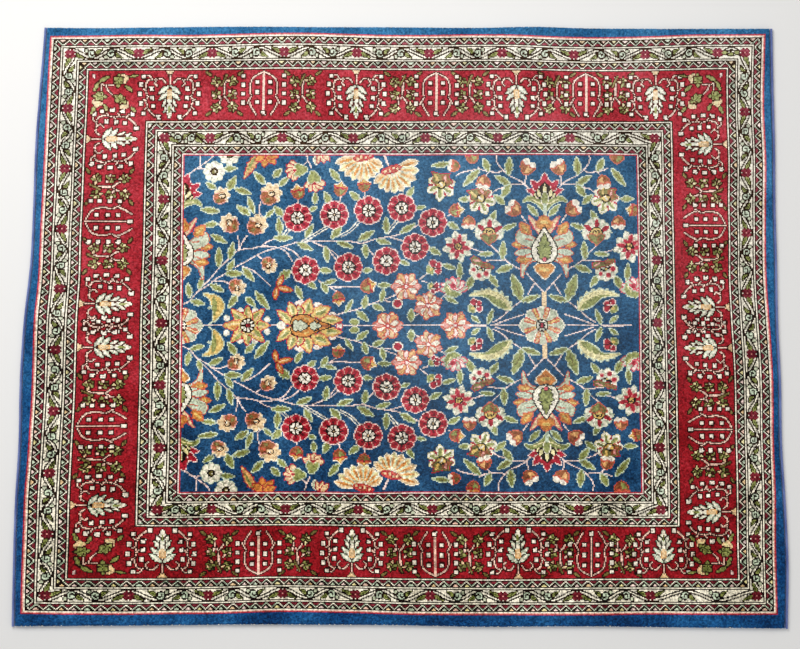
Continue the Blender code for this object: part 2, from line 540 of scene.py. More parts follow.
def aimed(turn, hand):
    """A turn as it is on the right, by hand +1, and its mirror image on the left."""
    return turn if hand > 0 else 180 - turn


# Tiers of a cypress, drawn from the top down: height of the leaf's foot, its length, width and slope.
Tier = namedtuple("Tier", "foot length width slope")
CYPRESS_TIERS = [
    Tier(66, 21, 8, 62),
    Tier(54, 24, 9, 56),
    Tier(40, 28, 12, 46),
    Tier(30, 28, 11, 40),
]
CYPRESS_SPRAY = [(8, 24), (14, 17), (24, 17), (33, 18), (42, 20), (46, 29), (46, 40), (44, 50), (45, 62),
                 (43, 74), (37, 84), (27, 93)]
CYPRESS_TWIGS = [
    [(33, 18), (38, 11), (43, 10)],
    [(24, 17), (29, 25), (24, 31)],
    [(44, 50), (39, 54)],
    [(46, 40), (52, 36)],
    [(45, 62), (51, 58)],
    [(43, 74), (49, 78)],
]
BLOSSOMS_WITHIN = [(35, 36), (33.5, 55), (32, 72), (21, 94)]
BLOSSOMS_WITHOUT = [(50, 12), (56, 28), (58, 47), (56, 66), (50, 86)]


def draw_cypress(pen):
    """A leafed tree on a foot, in an arched spray of blossoms."""
    for hand in (-1, 1):
        draw_twig(pen, flipped(CYPRESS_SPRAY, hand), rim_knots=1.0)
        for twig in CYPRESS_TWIGS:
            draw_twig(pen, flipped(twig, hand), 0.9, 0.9)
        draw_blossoms(pen, flipped(BLOSSOMS_WITHIN + BLOSSOMS_WITHOUT, hand))
    pen.fill([(-8.5, 0), (8.5, 0), (4.0, 5), (1.8, 12), (-1.8, 12), (-4.0, 5)], "peach", "umber", 0.8)
    draw_twig(pen, [(0, 10), (0, 34)], 1.0, 0.9)
    pen.at(0, 76, turn=90).fill(saw_edged(21, 12, 3, 0.3), "ivory", "umber", 0.8)
    for tier in CYPRESS_TIERS:
        for hand in (-1, 1):
            aim = aimed(tier.slope, hand)
            leaf = pen.at(hand * 1.0, tier.foot, turn=aim)
            leaf.fill(saw_edged(tier.length, tier.width, 4, 0.35), "mint", "umber", 1.1)
            leaf.line([(0.25 * tier.length, 0), (0.75 * tier.length, 0)], "ivory", knots=1.6)
    pen.fill([(0, 36), (5, 44), (5, 54), (3, 62), (0, 76), (-3, 62), (-5, 54), (-5, 44)], "ivory")
    pen.fill([(-3.6, 40), (3.6, 40), (4.0, 50), (2.4, 57), (-2.4, 57), (-4.0, 50)], "peach", "apricot", 0.7)
    for hand in (-1, 1):
        pen.line([(hand * 5.0, 58), (hand * 5.4, 74)], "umber", knots=1.1)
    pen.line([(0, 74), (0, 84)], "olive", knots=1.8)


def draw_arch(pen):
    """A straight stem inside two bowed ones, with blossoms within and without."""
    for hand in (-1, 1):
        bow = [(0, 4), (13, 10), (23, 18), (27, 30), (27, 44), (25, 54), (29, 60), (25, 74), (15, 90)]
        draw_twig(pen, flipped(bow, hand), rim_knots=0.95)
        draw_twig(pen, [(hand * 25, 54), (hand * 33, 68)], 0.9, 0.9)
        draw_blossoms(pen, [(hand * 13, y) for y in (25, 45, 65)])
        draw_blossoms(pen, [(hand * 41, y) for y in (12, 30, 48, 66)])
    draw_twig(pen, [(0, 4), (0, 84)], 1.3, 0.7)
    draw_blossoms(pen, [(0, 87)])


def draw_sprig(pen, bud):
    """A ragged bunch of small leaves, olive and moss green, with touches of another wool."""
    leaves = ((-95, 10, "moss"), (-50, 12, "olive"), (-8, 11, "moss"), (38, 12, "olive"), (85, 10, "moss"),
              (150, 9, "olive"))
    for turn, length, wool in leaves:
        pen.at(-2, 0, turn=turn).fill(pointed(length, 6.5), wool, "umber", 1.05)
    pen.dot(-2, 0, 4.2, "olive")
    pen.line([(-6, -2), (2, 1)], "umber", knots=1.2)
    pen.line([(-3, 3.5), (4, 6)], "umber")
    if bud:
        pen.fill([(-10, -9), (-5, -8), (-4, -3), (-8, -3)], bud, "umber", 1.0)
        pen.dot(5, -2, 2.4, bud)


def draw_leafy_post(pen):
    """A forked stem between six leafy bunches."""
    draw_twig(pen, [(0, 12), (1.5, 20), (0, 34), (-1, 54)], 1.3, 1.0)
    draw_twig(pen, [(-1, 52), (-8, 62), (-10, 74)], rim_knots=1.0)
    draw_twig(pen, [(-1, 52), (6, 60), (9, 66)], rim_knots=1.0)
    pen.line([(-6, 30), (4, 10)], "khaki", knots=1.4, rim="umber", rim_knots=0.9)
    for hand in (-1, 1):
        for height, turn, bud in ((22, -35, "peach"), (49, 5, "shell"), (76, 40, "straw")):
            aim = aimed(turn, hand)
            draw_sprig(pen.at(hand * 17, height, turn=aim), bud)
        for height, turn in ((10, -32), (84, 35)):
            aim = aimed(turn, hand)
            pen.at(hand * 26, height, turn=aim).fill(pointed(14, 5), "khaki", "umber", 1.1)


def draw_corner(pen):
    """Three two-toned flowers with long leaves, in the square where two sides of the border meet."""
    stems = [[(24, 25), (34, 31), (50, 30)], [(25, 26), (27, 34), (26, 44)],
             [(36, 32), (40, 42), (48, 50), (56, 58)]]
    for stem in stems:
        draw_twig(pen, stem, rim_knots=0.9)
    for x, y, turn, length, width in ((22, 24, -28, 24, 9), (22, 24, 116, 22, 9), (82, 14, -10, 18, 6),
                                      (74, 32, 42, 18, 9), (16, 72, 112, 20, 8), (32, 70, 62, 16, 8),
                                      (84, 76, 42, 14, 7)):
        pen.at(x, y, turn=turn).fill(saw_edged(length, width, 3, 0.2), "olive", "umber", 1.1)
    two_toned = [((60, 22, 94), (70, 18, 80)), ((24, 54, 4), (20, 66, 12)), ((64, 60, 35), (71, 70, -50))]
    for (x, y, turn), (pale_x, pale_y, pale_turn) in two_toned:
        pale = pen.at(pale_x, pale_y, turn=pale_turn)
        pale.fill(lobed(10.5, 4, 0.22), "peach", "umber", 0.6)
        pale.line([(-2, -2), (4, 3)], "straw", knots=2.0)
        green = pen.at(x, y, turn=turn)
        for leaf_turn, length in ((0, 15), (60, 10), (-60, 10), (180, 14), (125, 11), (-125, 11)):
            green.turned(leaf_turn).fill(pointed(length, 8.5), "olive", "umber", 1.1)
        green.fill(oval(8, 4), "olive")
        green.line([(-6, -1), (0, 1.5), (6, -1)], "moss")
    pen.fill([(9, 8), (15, 10), (14, 17), (10, 15)], "blush", "wine", 0.6)


# Trees of the main border along each side. An arch stands half way between two, with a post each side of it.
TreeRow = namedtuple("TreeRow", "side first second third fourth")
TREES = [
    TreeRow("upper", -485, -109, 214, 497),
    TreeRow("lower", -484, -115, 211, 498),
    TreeRow("left", -356, -43, 43, 377),
    TreeRow("right", -369, -44, 38, 366),
]
POST_SHARE = 0.29


def draw_main_border(chart):
    for row in TREES:
        pen = side_pen(chart, row.side, GUARD_KNOTS)
        trees = row[1:]
        for start, finish in zip(trees, trees[1:]):
            run = finish - start
            if run > 150:
                draw_leafy_post(pen.at(start + POST_SHARE * run, 0))
                draw_leafy_post(pen.at(finish - POST_SHARE * run, 0))
                draw_arch(pen.at(0.5 * (start + finish), 0))
        for tree in trees:
            draw_cypress(pen.at(tree, 0))
    reach = GUARD_KNOTS + MAIN_KNOTS
    left = -FIELD_X - reach * KNOT_X
    lower = -FIELD_UNDER - reach * KNOT_Y
    upper = FIELD_OVER + reach * KNOT_Y
    draw_corner(Pen(chart, left, lower))
    draw_corner(Pen(chart, left, upper, hand=-1))
    draw_corner(Pen(chart, -left, lower, turn=180, hand=-1))
    draw_corner(Pen(chart, -left, upper, turn=180))


# ---------------------------------------------------------------- leaves and stems of the field

Leaf = namedtuple("Leaf", "x y turn length width")

# Each leaf stands on its foot, at x and y, and points by its turn.
# Leaves of the flowering tree, from the left end of the field.
TREE_LEAVES = [
    Leaf(-441, 57, 98, 28, 12),
    Leaf(-438, 50, -15, 28, 11),
    Leaf(-422, 74, 75, 24, 10),
    Leaf(-400, 82, -27, 30, 12),
    Leaf(-383, 118, 90, 38, 14),
    Leaf(-361, 134, 78, 33, 12),
    Leaf(-366, 108, 60, 27, 11),
    Leaf(-369, 104, 0, 33, 14),
    Leaf(-335, 116, -50, 34, 13),
    Leaf(-262, 184, 95, 32, 13),
    Leaf(-274, 177, 0, 36, 13),
    Leaf(-210, 178, 60, 28, 11),
    Leaf(-226, 166, -25, 32, 12),
    Leaf(-170, 158, -82, 30, 12),
    Leaf(-158, 176, 50, 30, 14),
    Leaf(-146, 168, -20, 32, 11),
    Leaf(-104, 172, 31, 35, 13),
    Leaf(-92, 163, -82, 26, 13),
    Leaf(-68, 172, -15, 28, 10),
    Leaf(-48, 186, 92, 32, 13),
    Leaf(-20, 186, 32, 34, 12),
]
# Leaves that stand against the tree's flowers.
FLOWER_LEAVES = [
    Leaf(-255, 220, 135, 26, 14),
    Leaf(-202, 232, 25, 15, 8),
    Leaf(-192, 246, 88, 22, 11),
    Leaf(-162, 245, 113, 26, 14),
    Leaf(-102, 252, 138, 27, 12),
    Leaf(-6, 260, 55, 23, 10),
    Leaf(12, 237, 10, 18, 8),
    Leaf(76, 206, -30, 24, 11),
    Leaf(38, 155, -30, 26, 11),
    Leaf(-20, 130, -25, 19, 8),
    Leaf(-94, 110, 8, 17, 9),
    Leaf(-64, 81, 0, 25, 10),
    Leaf(-182, 112, -8, 25, 11),
    Leaf(-204, 88, -45, 20, 11),
    Leaf(-241, 110, 218, 29, 17),
    Leaf(-228, 78, -65, 28, 11),
    Leaf(-176, 86, -65, 22, 12),
    Leaf(-172, 84, 17, 24, 8),
    Leaf(-143, 292, 127, 30, 13),
]
# Leaves of the loose flowers in the left corner.
CORNER_LEAVES = [
    Leaf(-376, 316, 5, 27, 11),
    Leaf(-391, 276, 148, 22, 11),
    Leaf(-366, 272, 62, 33, 16),
    Leaf(-351, 275, -18, 33, 12),
    Leaf(-383, 229, 172, 38, 12),
    Leaf(-387, 205, 188, 27, 11),
    Leaf(-398, 182, -27, 34, 12),
    Leaf(-322, 223, 146, 31, 13),
    Leaf(-314, 226, 110, 35, 11),
    Leaf(-293, 286, 131, 31, 13),
    Leaf(-264, 281, 45, 26, 11),
    Leaf(-275, 300, 45, 23, 13),
    Leaf(-291, 218, 42, 23, 8),
    Leaf(-346, 62, 237, 31, 13),
    Leaf(-328, 56, -45, 24, 12),
    Leaf(-310, 68, -52, 44, 14),
]
# Leaves of the small branch by the axis and of the flowers at the middle.
MIDDLE_LEAVES = [
    Leaf(-130, 28, 58, 28, 8),
    Leaf(-108, 30, -40, 30, 12),
    Leaf(-94, 36, 75, 25, 12),
    Leaf(-75, 42, -27, 24, 11),
    Leaf(-58, 48, 78, 26, 10),
    Leaf(0, 9, 88, 24, 13),
    Leaf(64, 121, -15, 25, 9),
    Leaf(98, 94, 90, 30, 12),
    Leaf(70, 56, -25, 25, 9),
    Leaf(78, 327, 187, 35, 10),
    Leaf(138, 315, 226, 46, 14),
    Leaf(117, 254, 178, 20, 11),
]
# Leaves of the branches round the two large flowers, drawn on the left of them and again on the right.
PAIRED_LEAVES = [
    Leaf(126, 100, 243, 32, 14),
    Leaf(122, 19, -40, 20, 8),
    Leaf(165, 145, 185, 27, 9),
    Leaf(184, 134, 86, 35, 14),
    Leaf(204, 120, 200, 34, 13),
    Leaf(158, 102, -55, 28, 12),
    Leaf(222, 50, 110, 56, 22),
    Leaf(222, 49, 18, 37, 12),
    Leaf(154, 4, 70, 30, 10),
    Leaf(158, 312, 115, 27, 14),
    Leaf(197, 304, 85, 35, 15),
    Leaf(200, 284, 148, 34, 13),
    Leaf(200, 284, 235, 30, 14),
    Leaf(188, 245, 138, 27, 12),
    Leaf(160, 208, 65, 25, 12),
    Leaf(184, 194, 20, 29, 10),
    Leaf(255, 222, 132, 30, 11),
]
PAIR_MIDDLE = 267

STEM = "blush"
TREE_STEMS = [
    [(-458, 42), (-440, 51), (-425, 69), (-402, 92), (-386, 111), (-365, 132), (-344, 151), (-318, 155)],
    [(-425, 69), (-404, 81), (-390, 92), (-370, 104)],
    [(-350, 117), (-325, 131), (-302, 145), (-282, 153), (-262, 158), (-240, 164), (-222, 168), (-160, 170)],
    [(-160, 170), (-120, 169), (-98, 166), (-70, 174), (-40, 179), (-20, 184), (8, 198), (22, 205)],
    [(-318, 155), (-296, 160), (-270, 158), (-250, 149), (-236, 128)],
    [(-300, 160), (-288, 169), (-272, 175)],
    [(-255, 158), (-236, 150), (-222, 137)],
    [(-196, 168), (-172, 157), (-156, 149), (-144, 138)],
    [(-164, 152), (-150, 134)],
    [(-96, 166), (-86, 155), (-75, 143)],
    [(-44, 178), (-22, 172), (-12, 168)],
    [(-345, 150), (-342, 163), (-346, 180)],
    [(-342, 154), (-336, 168), (-327, 181)],
    [(-298, 220), (-304, 231), (-300, 249)],
    [(-335, 118), (-318, 112), (-300, 99), (-280, 80)],
    [(-396, 88), (-376, 89), (-360, 82)],
    [(-306, 141), (-294, 132)],
]
# Twigs drawn as two close lines, each from the branch to a round flower.
DOUBLE_TWIGS = [
    [(-262, 174), (-244, 194)],
    [(-216, 168), (-190, 184), (-166, 199)],
    [(-142, 179), (-120, 192), (-103, 210)],
    [(-47, 186), (-38, 197), (-25, 212)],
]
LOOSE_STEMS = [
    [(-183, 90), (-172, 80), (-150, 77), (-100, 78)],
    [(-160, 77), (-148, 68)],
    [(-148, 22), (-128, 28), (-110, 32), (-90, 40), (-75, 45), (-58, 50), (-40, 48)],
    [(-50, 53), (-30, 61), (-20, 66)],
    [(10, 20), (20, 27)],
    [(18, 92), (34, 104)],
    [(24, 89), (34, 86)],
    [(62, 55), (70, 62)],
    [(-448, 304), (-432, 316), (-404, 336), (-396, 346)],
    [(-436, 314), (-424, 318), (-412, 317)],
    [(-423, 322), (-423, 346)],
    [(-209, 346), (-206, 334), (-217, 322)],
    [(-207, 336), (-199, 320)],
    [(-226, 244), (-226, 252)],
    [(-143, 248), (-139, 262)],
    [(-93, 258), (-92, 268)],
    [(-54, 344), (-44, 320)],
    [(76, 221), (84, 226)],
    [(92, 303), (104, 309), (136, 316)],
]
PAIRED_STEMS = [
    [(122, 155), (136, 150), (150, 146)],
    [(152, 130), (170, 132), (188, 132)],
    [(160, 162), (175, 148), (188, 134), (202, 123), (220, 113)],
    [(267, 66), (232, 105)],
    [(234, 63), (248, 86)],
    [(165, 7), (184, 19), (198, 33), (222, 50)],
    [(170, 3), (200, 14), (226, 22)],
    [(150, 0), (112, 1)],
    [(174, 346), (174, 331), (184, 316), (196, 304), (212, 296), (226, 288), (240, 274)],
    [(136, 318), (150, 312), (175, 309), (186, 313)],
    [(150, 301), (160, 311)],
    [(202, 285), (228, 286)],
    [(230, 286), (233, 305)],
    [(164, 268), (176, 276), (190, 278)],
    [(222, 222), (232, 208)],
]


def draw_leaf(pen, length, width):
    pen.fill(saw_edged(length, width, 4, 0.22), "olive", "mint")
    if length > 30:
        pen.line([(0.2 * length, 0), (0.62 * length, 0)], "khaki", knots=0.9)


def draw_leaves(pen, rows, between=None):
    """Leaves of a table, and again mirrored in an upright line where it is given."""
    for row in rows:
        draw_leaf(pen.at(row.x, row.y, row.turn), row.length, row.width)
        if between:
            draw_leaf(pen.at(2 * between - row.x, row.y, 180 - row.turn), row.length, row.width)


def draw_stems(pen, routes, between=None):
    for route in routes:
        pen.line(route, STEM)
        if between:
            pen.line([(2 * between - x, y) for x, y in route], STEM)


def draw_crescent(pen):
    """A long curved leaf with a toothed straw-coloured back, and green within."""
    back = smooth_curve([(0, 0), (-6, 18), (-20, 32), (-42, 40), (-66, 36), (-82, 28), (-66, 27),
                         (-48, 25), (-34, 12), (-18, 3)], closed=True)
    for x, y, turn in ((-2, 12, 60), (-8, 22, 75), (-18, 31, 90), (-30, 37, 100), (-43, 39, 115),
                       (-56, 37, 130), (-68, 33, 140)):
        pen.at(x, y, turn=turn).fill(pointed(8, 6, 0.3) + (-3, 0), "straw", "mint", 0.9)
    pen.fill(back, "straw", "mint")
    pen.blob([(-6, 2), (-12, 14), (-26, 23), (-42, 29), (-64, 29), (-48, 25), (-34, 12), (-18, 3)], "olive")
    for x, y in ((-16, 14), (-28, 22), (-42, 27)):
        pen.line([(x, y), (x + 5, y + 5)], "straw", knots=0.9)


# ---------------------------------------------------------------- flowers of the field


def draw_red_rosette(pen):
    """Eight notched red petals edged pale pink round a dark eye with eight white spokes."""
    for petal in range(8):
        pen.turned(45 * petal).fill(rounded(30, 24, 0.5), "blush")
    for petal in range(8):
        leaf = pen.turned(45 * petal)
        leaf.fill(rounded(18.5, 19.0, 0.5) + (9.4, 0), "red")
    for petal in range(8):
        pen.turned(45 * petal + 22.5).line([(16, 0), (27.5, 0)], "pink", knots=0.9)
        leaf = pen.turned(45 * petal)
        leaf.line([(17.5, 0), (20.5, 0)], "wine", knots=1.8)
        leaf.line([(21, 0), (26, -4)], "crimson", knots=1.2)
        leaf.line([(21, 0), (26, 4)], "crimson", knots=1.2)
    pen.dot(0, 0, 14.6, "dark")
    for spoke in range(8):
        pen.turned(22.5 + 45 * spoke).fill(pointed(9.5, 5.6, 0.6) + (3.2, 0), "white")
    pen.line([(0, -12), (0, 12)], "dark", knots=0.7)
    pen.dot(0, 0, 1.6, "peach")


DAISY_PETALS = 12
DAISY_WOOLS = ["pink", "ivory", "peach", "blush", "apricot", "ivory"]


def draw_daisy(pen, reach):
    """Pointed petals that take their wools in turn."""
    for petal in range(DAISY_PETALS):
        leaf = pen.turned(360.0 * petal / DAISY_PETALS)
        length = reach * (0.84 if petal % 2 else 1.04)
        foot = 0.12 * reach
        width = 4.9 * reach / DAISY_PETALS
        wool = DAISY_WOOLS[petal % len(DAISY_WOOLS)]
        leaf.fill(pointed(length - foot, width, 0.66) + (foot, 0), wool, "salmon", 1.1)
    pen.dot(0, 0, 3.4, "blush", "red", 0.7)


def draw_white_daisy(pen):
    pen.fill(lobed(21, 8, 0.18), "ivory", "mint", 0.7)
    for petal in range(8):
        pen.turned(22.5 + 45 * petal).line([(11, 0), (18, 0)], "aqua", knots=0.9)
    pen.blob([(-8, 2), (-3, 8), (5, 7), (8, 0), (4, -7), (-5, -6)], "dark")
    pen.dot(0, 0, 4.2, "khaki")
    pen.dot(1, 1, 1.6, "ivory")


def draw_fluffy_flower(pen, reach):
    """A cream flower seen from the side, with a small calyx of brown and green. x points out of it."""
    pen.fill(lobed(reach * 1.06, 7, 0.3), "peach", "ivory", 0.6)
    calyx = [(-reach * 0.30, -reach * 0.85), (-reach * 0.1, -reach * 0.3), (-reach * 0.35, 0),
             (-reach * 0.1, reach * 0.3), (-reach * 0.35, reach * 0.85), (-reach * 0.95, reach * 0.6),
             (-reach * 1.25, 0), (-reach * 0.95, -reach * 0.6)]
    pen.fill(calyx, "brown", "pink", 0.8)
    pen.fill([(-reach * 0.5, -4), (-reach * 0.9, -6), (-reach * 1.1, 0), (-reach * 0.7, 2)], "khaki")
    pen.line([(-reach * 0.5, reach * 0.3), (-reach * 0.8, reach * 0.5)], "salmon", knots=1.4)
    pen.dot(-1, 0, 5.6, "peach", "brown", 0.9)
    pen.line([(-5, -3), (-2, -7), (4, -6), (5, -1)], "dark")
    pen.line([(-3, 3), (1, 3), (2, -1)], "dark", knots=0.9)
    pen.dot(-1, 0.5, 1.8, "ivory")


def draw_bud(pen, wool, reach):
    """A bud half out of a round calyx of two wools, with a jagged red seam; x points out of the bud."""
    if wool == "white":
        top = [(-2, -0.85), (0.5, -0.95), (0.85, -0.5), (0.62, -0.05), (0.95, 0.45), (0.5, 0.95), (-2, 0.85)]
        top = smooth_curve([(x * reach if x > 0 else x, y * reach) for x, y in top])
    else:
        top = [(-2, -0.9), (0.4, -0.95), (0.55, -0.5), (1.15, 0), (0.55, 0.5), (0.4, 0.95), (-2, 0.9)]
        top = [(x * reach if x > 0 else x, y * reach) for x, y in top]
    pen.fill(top, wool, "ivory", 0.9)
    cup = [(0.3, 0), (0.05, 0.45), (0.3, 1.0), (-0.35, 0.9), (-0.85, 0.55), (-1.15, 0)]
    half = [(x * reach, y * reach) for x, y in cup]
    pen.fill(both_sides(half[::-1]), "brown", "salmon", 0.8)
    other = "apricot" if wool == "white" else "olive"
    pen.fill([(0.8 * x, -0.8 * y) for x, y in half], other if reach > 12 else "khaki")
    seam = [(0.28, -0.95), (0.02, -0.45), (0.28, 0), (0.02, 0.45), (0.28, 0.95)]
    pen.line([(x * reach, y * reach) for x, y in seam], "red" if wool == "orange" else "salmon", knots=1.1)
    if wool == "orange":
        pen.line([(reach * 0.5, 0), (reach * 0.8, 0)], "gold", knots=2.0)


def draw_red_bud(pen, reach):
    """A red three-lobed flower in a green cup."""
    for turn in (-64, 0, 64):
        pen.turned(turn).fill(rounded(reach * 1.15, reach * 0.9, 0.4), "red", "blush", 0.8)
    for turn in (-32, 32):
        pen.turned(turn).line([(reach * 0.4, 0), (reach * 0.9, 0)], "wine", knots=0.9)
    pen.at(-2, 0, turn=180).fill(pointed(reach * 0.95, reach * 1.3, 0.4), "olive", "mint", 0.7)
    pen.dot(0, 0, reach * 0.24, "dark")
    pen.dot(-5, 0, reach * 0.24, "gold")


LILY_PETALS = [(-108, 26), (-56, 30), (0, 32), (56, 30), (108, 26)]


def draw_lily(pen):
    """Five striped cream petals, a small calyx and a dark-ringed eye. x points along the middle petal."""
    for turn, length in LILY_PETALS:
        petal = pen.turned(turn)
        petal.fill(saw_edged(length, 26, 3, 0.22) + (1, 0), "ivory", "straw", 0.5)
    for turn, length in LILY_PETALS:
        petal = pen.turned(turn)
        petal.line([(9, -2), (length - 7, 0)], "olive", knots=2.1)
        petal.line([(11, 3), (length - 10, 4)], "straw", knots=1.1)
    for turn in (-82, -28, 28, 82):
        pen.turned(turn).line([(17, 0), (23, 0)], "red", knots=1.5)
    calyx = [(2, -11), (-6, -20), (-15, -17), (-23, -22), (-21, -4), (-24, 13), (-15, 12), (-8, 22), (2, 12)]
    pen.fill(calyx, "khaki", "red", 0.8)
    pen.fill([(-3, 0), (-18, -2), (-21, 11), (-14, 10), (-8, 18), (0, 10)], "brown")
    pen.line([(-8, -9), (-17, -14)], "gold", knots=2.2)
    pen.line([(-10, 7), (-17, 6)], "pink", knots=1.8)
    pen.dot(0, 0, 8.2, "gold")
    pen.line([(6, -6), (8, 1), (4, 7), (-3, 8)], "dark", knots=1.3)
    pen.line([(-7, 3), (-7, -3), (-2, -8)], "dark", knots=1.3)
    pen.line([(-3, -3), (2, 2)], "ivory", knots=1.6)


STAR_REACH = 31.0


def draw_star_flower(pen):
    """Pointed petals, cream and pale green, with narrow red ones between them, round a small dark eye."""
    for petal in range(8):
        leaf = pen.turned(45 * petal + 12)
        leaf.fill(saw_edged(STAR_REACH * (0.96 if petal % 2 else 1.04), 21, 3, 0.25), "ivory", "mint", 0.6)
        leaf.fill(pointed(STAR_REACH * 0.55, 7, 0.55) + (7, 0), "aqua")
    for petal in range(8):
        leaf = pen.turned(45 * petal + 34.5)
        length = STAR_REACH * (0.82 if petal % 2 else 0.62)
        leaf.fill(pointed(length, 8.5, 0.6), "red", "pink" if petal % 3 else None, 0.6)
    pen.dot(0, 0, 6.4, "gold")
    pen.line([(5, -5), (7, 1), (3, 6)], "dark", knots=1.3)
    pen.line([(-7, 4), (-7, -2), (-3, -6)], "dark", knots=1.3)
    pen.line([(-3, 3), (-1, -2), (3, -1)], "dark")


def draw_fan_flower(pen):
    """A half-round flower of pale and red rays over a small green cup; y points out of it."""
    for ray in range(9):
        turn = -4 + 23.5 * ray
        length = 34 - 3 * abs(ray - 4) * 0.6
        pen.at(0, -6, turn=turn).fill(rounded(length, 15, 0.4), "ivory", "mint", 0.8)
    for ray in range(8):
        pen.at(0, -6, turn=8 + 23.5 * ray).line([(22, 0), (30, 0)], "aqua", knots=1.2)
    for turn in (32, 88, 142):
        pen.at(0, -5, turn=turn).fill(rounded(30, 9.5, 0.5), "red")
        pen.at(0, -5, turn=turn).line([(20, 1), (27, 1)], "crimson", knots=1.1)
    dome = smooth_curve([(-11, -8), (-11, 0), (-6, 6), (0, 8), (6, 6), (11, 0), (11, -8)])
    pen.fill(dome, "gold", "dark", 1.1)
    pen.line([(-7, -4), (-4, 3), (0, 0), (4, 3), (7, -4)], "dark", knots=0.9)
    cup = [(-17, -7), (-8, -5), (0, -9), (8, -5), (17, -7), (12, -17), (5, -22), (0, -27), (-5, -22),
           (-12, -17)]
    pen.fill(cup, "khaki", "salmon", 0.9)
    pen.fill([(-12, -9), (-1, -11), (-1, -22), (-7, -18)], "olive")
    pen.line([(6, -11), (3, -19)], "brown", knots=1.6)


def draw_side_flower(pen):
    """A small flower with red spots in pale petals under a slim brown cap; y points to its cap."""
    for turn, length in ((-170, 20), (-138, 25), (-104, 27), (-70, 27), (-38, 26), (-8, 22)):
        pen.at(0, 2, turn=turn).fill(rounded(length, 15, 0.4), "ivory", "mint", 0.7)
    for turn in (-154, -121, -87, -54, -23):
        pen.at(0, 2, turn=turn).line([(15, 0), (20, 0)], "aqua", knots=1.1)
    for x, y, radius in ((-12, -6, 3.4), (1, -15, 4.6), (14, -7, 4.8)):
        pen.dot(x, y, radius, "red", "pink", 0.5)
    pen.fill([(-22, 13), (-14, 5), (-4, 6), (6, 3), (22, 4), (26, 9), (14, 14), (4, 13), (-8, 19), (-17, 20)],
             "khaki", "red", 0.7)
    pen.fill([(2, 6), (20, 5), (21, 9), (12, 12), (2, 11)], "brown")
    pen.line([(-15, 13), (-5, 14)], "pink", knots=1.5)
    pen.line([(-8, 2), (-3, -4), (2, 1), (7, -4), (10, 1)], "dark", knots=1.4)
    pen.dot(1, -2.5, 1.8, "gold")


def draw_ray_fan(pen, spread):
    """A fan of long pointed rays streaked orange over a red crown. x points along its longest ray."""
    for ray in range(9):
        share = ray / 8
        length = 57 - 15 * share
        leaf = pen.turned(share * spread)
        leaf.fill(pointed(length, 17, 0.68), "straw" if ray % 2 else "peach", "ivory", 0.9)
    for ray in range(9):
        share = ray / 8
        length = 57 - 15 * share
        leaf = pen.turned(share * spread)
        leaf.fill(pointed(length * 0.62, 5.6, 0.6) + (0.28 * length, 0), "apricot" if ray % 3 else "orange")
        leaf.line([(0.5 * length, 0), (0.72 * length, 0)], "orange", knots=0.9)
    for ray in range(8):
        leaf = pen.turned((ray + 0.5) / 8 * spread)
        leaf.line([(20, 0), (38, 0)], "mint", knots=0.8)
    pen.fill(oval(20, 6.5), "salmon", "red", 1.0)
    way = 1 if spread > 0 else -1
    for x, y in ((-13, 0), (-3, 2), (6, -1), (13, 2)):
        pen.dot(x, y * way, 3.0, "peach", "red", 0.6)


def draw_trefoil(pen):
    for turn, length in ((62, 27), (-12, 33), (-98, 25)):
        pen.at(-4, 0, turn=turn).fill(pointed(length, 10, 0.5), "orange", "red", 0.9)
        pen.at(-4, 0, turn=turn).line([(6, 0), (length - 9, 0)], "peach")


def draw_calyx_flower(pen):
    """Short ragged petals out of a long green calyx; x points out of the flower."""
    for petal in range(5):
        turn = -65 + 130.0 * petal / 4
        pen.at(-2, 0, turn=turn).fill(pointed(23, 11, 0.6), "peach", "red", 0.9)
    pen.fill([(-22, -4), (-6, -13), (2, -10), (0, 0), (2, 10), (-6, 13), (-22, 4)], "olive", "mint", 0.8)
    pen.dot(3, 0, 3.2, "red", "peach", 0.8)


def draw_pink_cluster(pen):
    """A ragged pink and pale flower on a green cup; y points out of it."""
    for number, turn in enumerate((16, 44, 70, 96, 122, 148, 170)):
        petal = pen.at(0, -8, turn=turn)
        petal.fill(pointed(28, 11, 0.62), "blush" if number % 2 else "aqua", "rose", 0.95)
        petal.line([(12, 0), (18, 0)], "pink", knots=1.2)
    pen.dot(-2, 3, 4.6, "red", "rose", 0.6)
    pen.fill([(-16, 10), (-9, 0), (-2, -7), (6, -9), (14, -13), (2, -20), (-13, -16), (-19, -4)],
             "olive", "mint", 0.8)
    pen.line([(-13, 2), (-6, -8)], "straw", knots=1.2)


# ---------------------------------------------------------------- palmettes of the field


def draw_gold_star(pen):
    """Eight gold and green petals edged red, pale buds between them, and a dark eye with white spokes."""
    for turn, radius in ((17, 41), (64, 33), (116, 33), (161, 44)):
        for hand in (-1, 1):
            pen.turned(hand * turn).dot(radius, 0, 5.4, "white", "mint", 0.5)
    for petal, reach in enumerate((44, 46, 39, 46, 49, 46, 39, 46)):
        leaf = pen.turned(45 * petal)
        leaf.fill(saw_edged(reach, 22, 4, 0.22), "gold", "red" if petal % 4 else "salmon", 0.9)
        leaf.fill(pointed(22, 7, 0.5) + (15, 2.6), "orange" if petal == 4 else "olive")
        leaf.line([(16, -3.5), (reach - 12, -2)], "peach", knots=1.0)
    pen.dot(0, 0, 15.2, "dark")
    for spoke in range(9):
        pen.turned(40 * spoke).fill(pointed(8.6, 4.6, 0.6) + (5.0, 0), "ivory")
    pen.dot(0, 0, 3.4, "red")
    pen.dot(0, 0, 1.4, "dark")


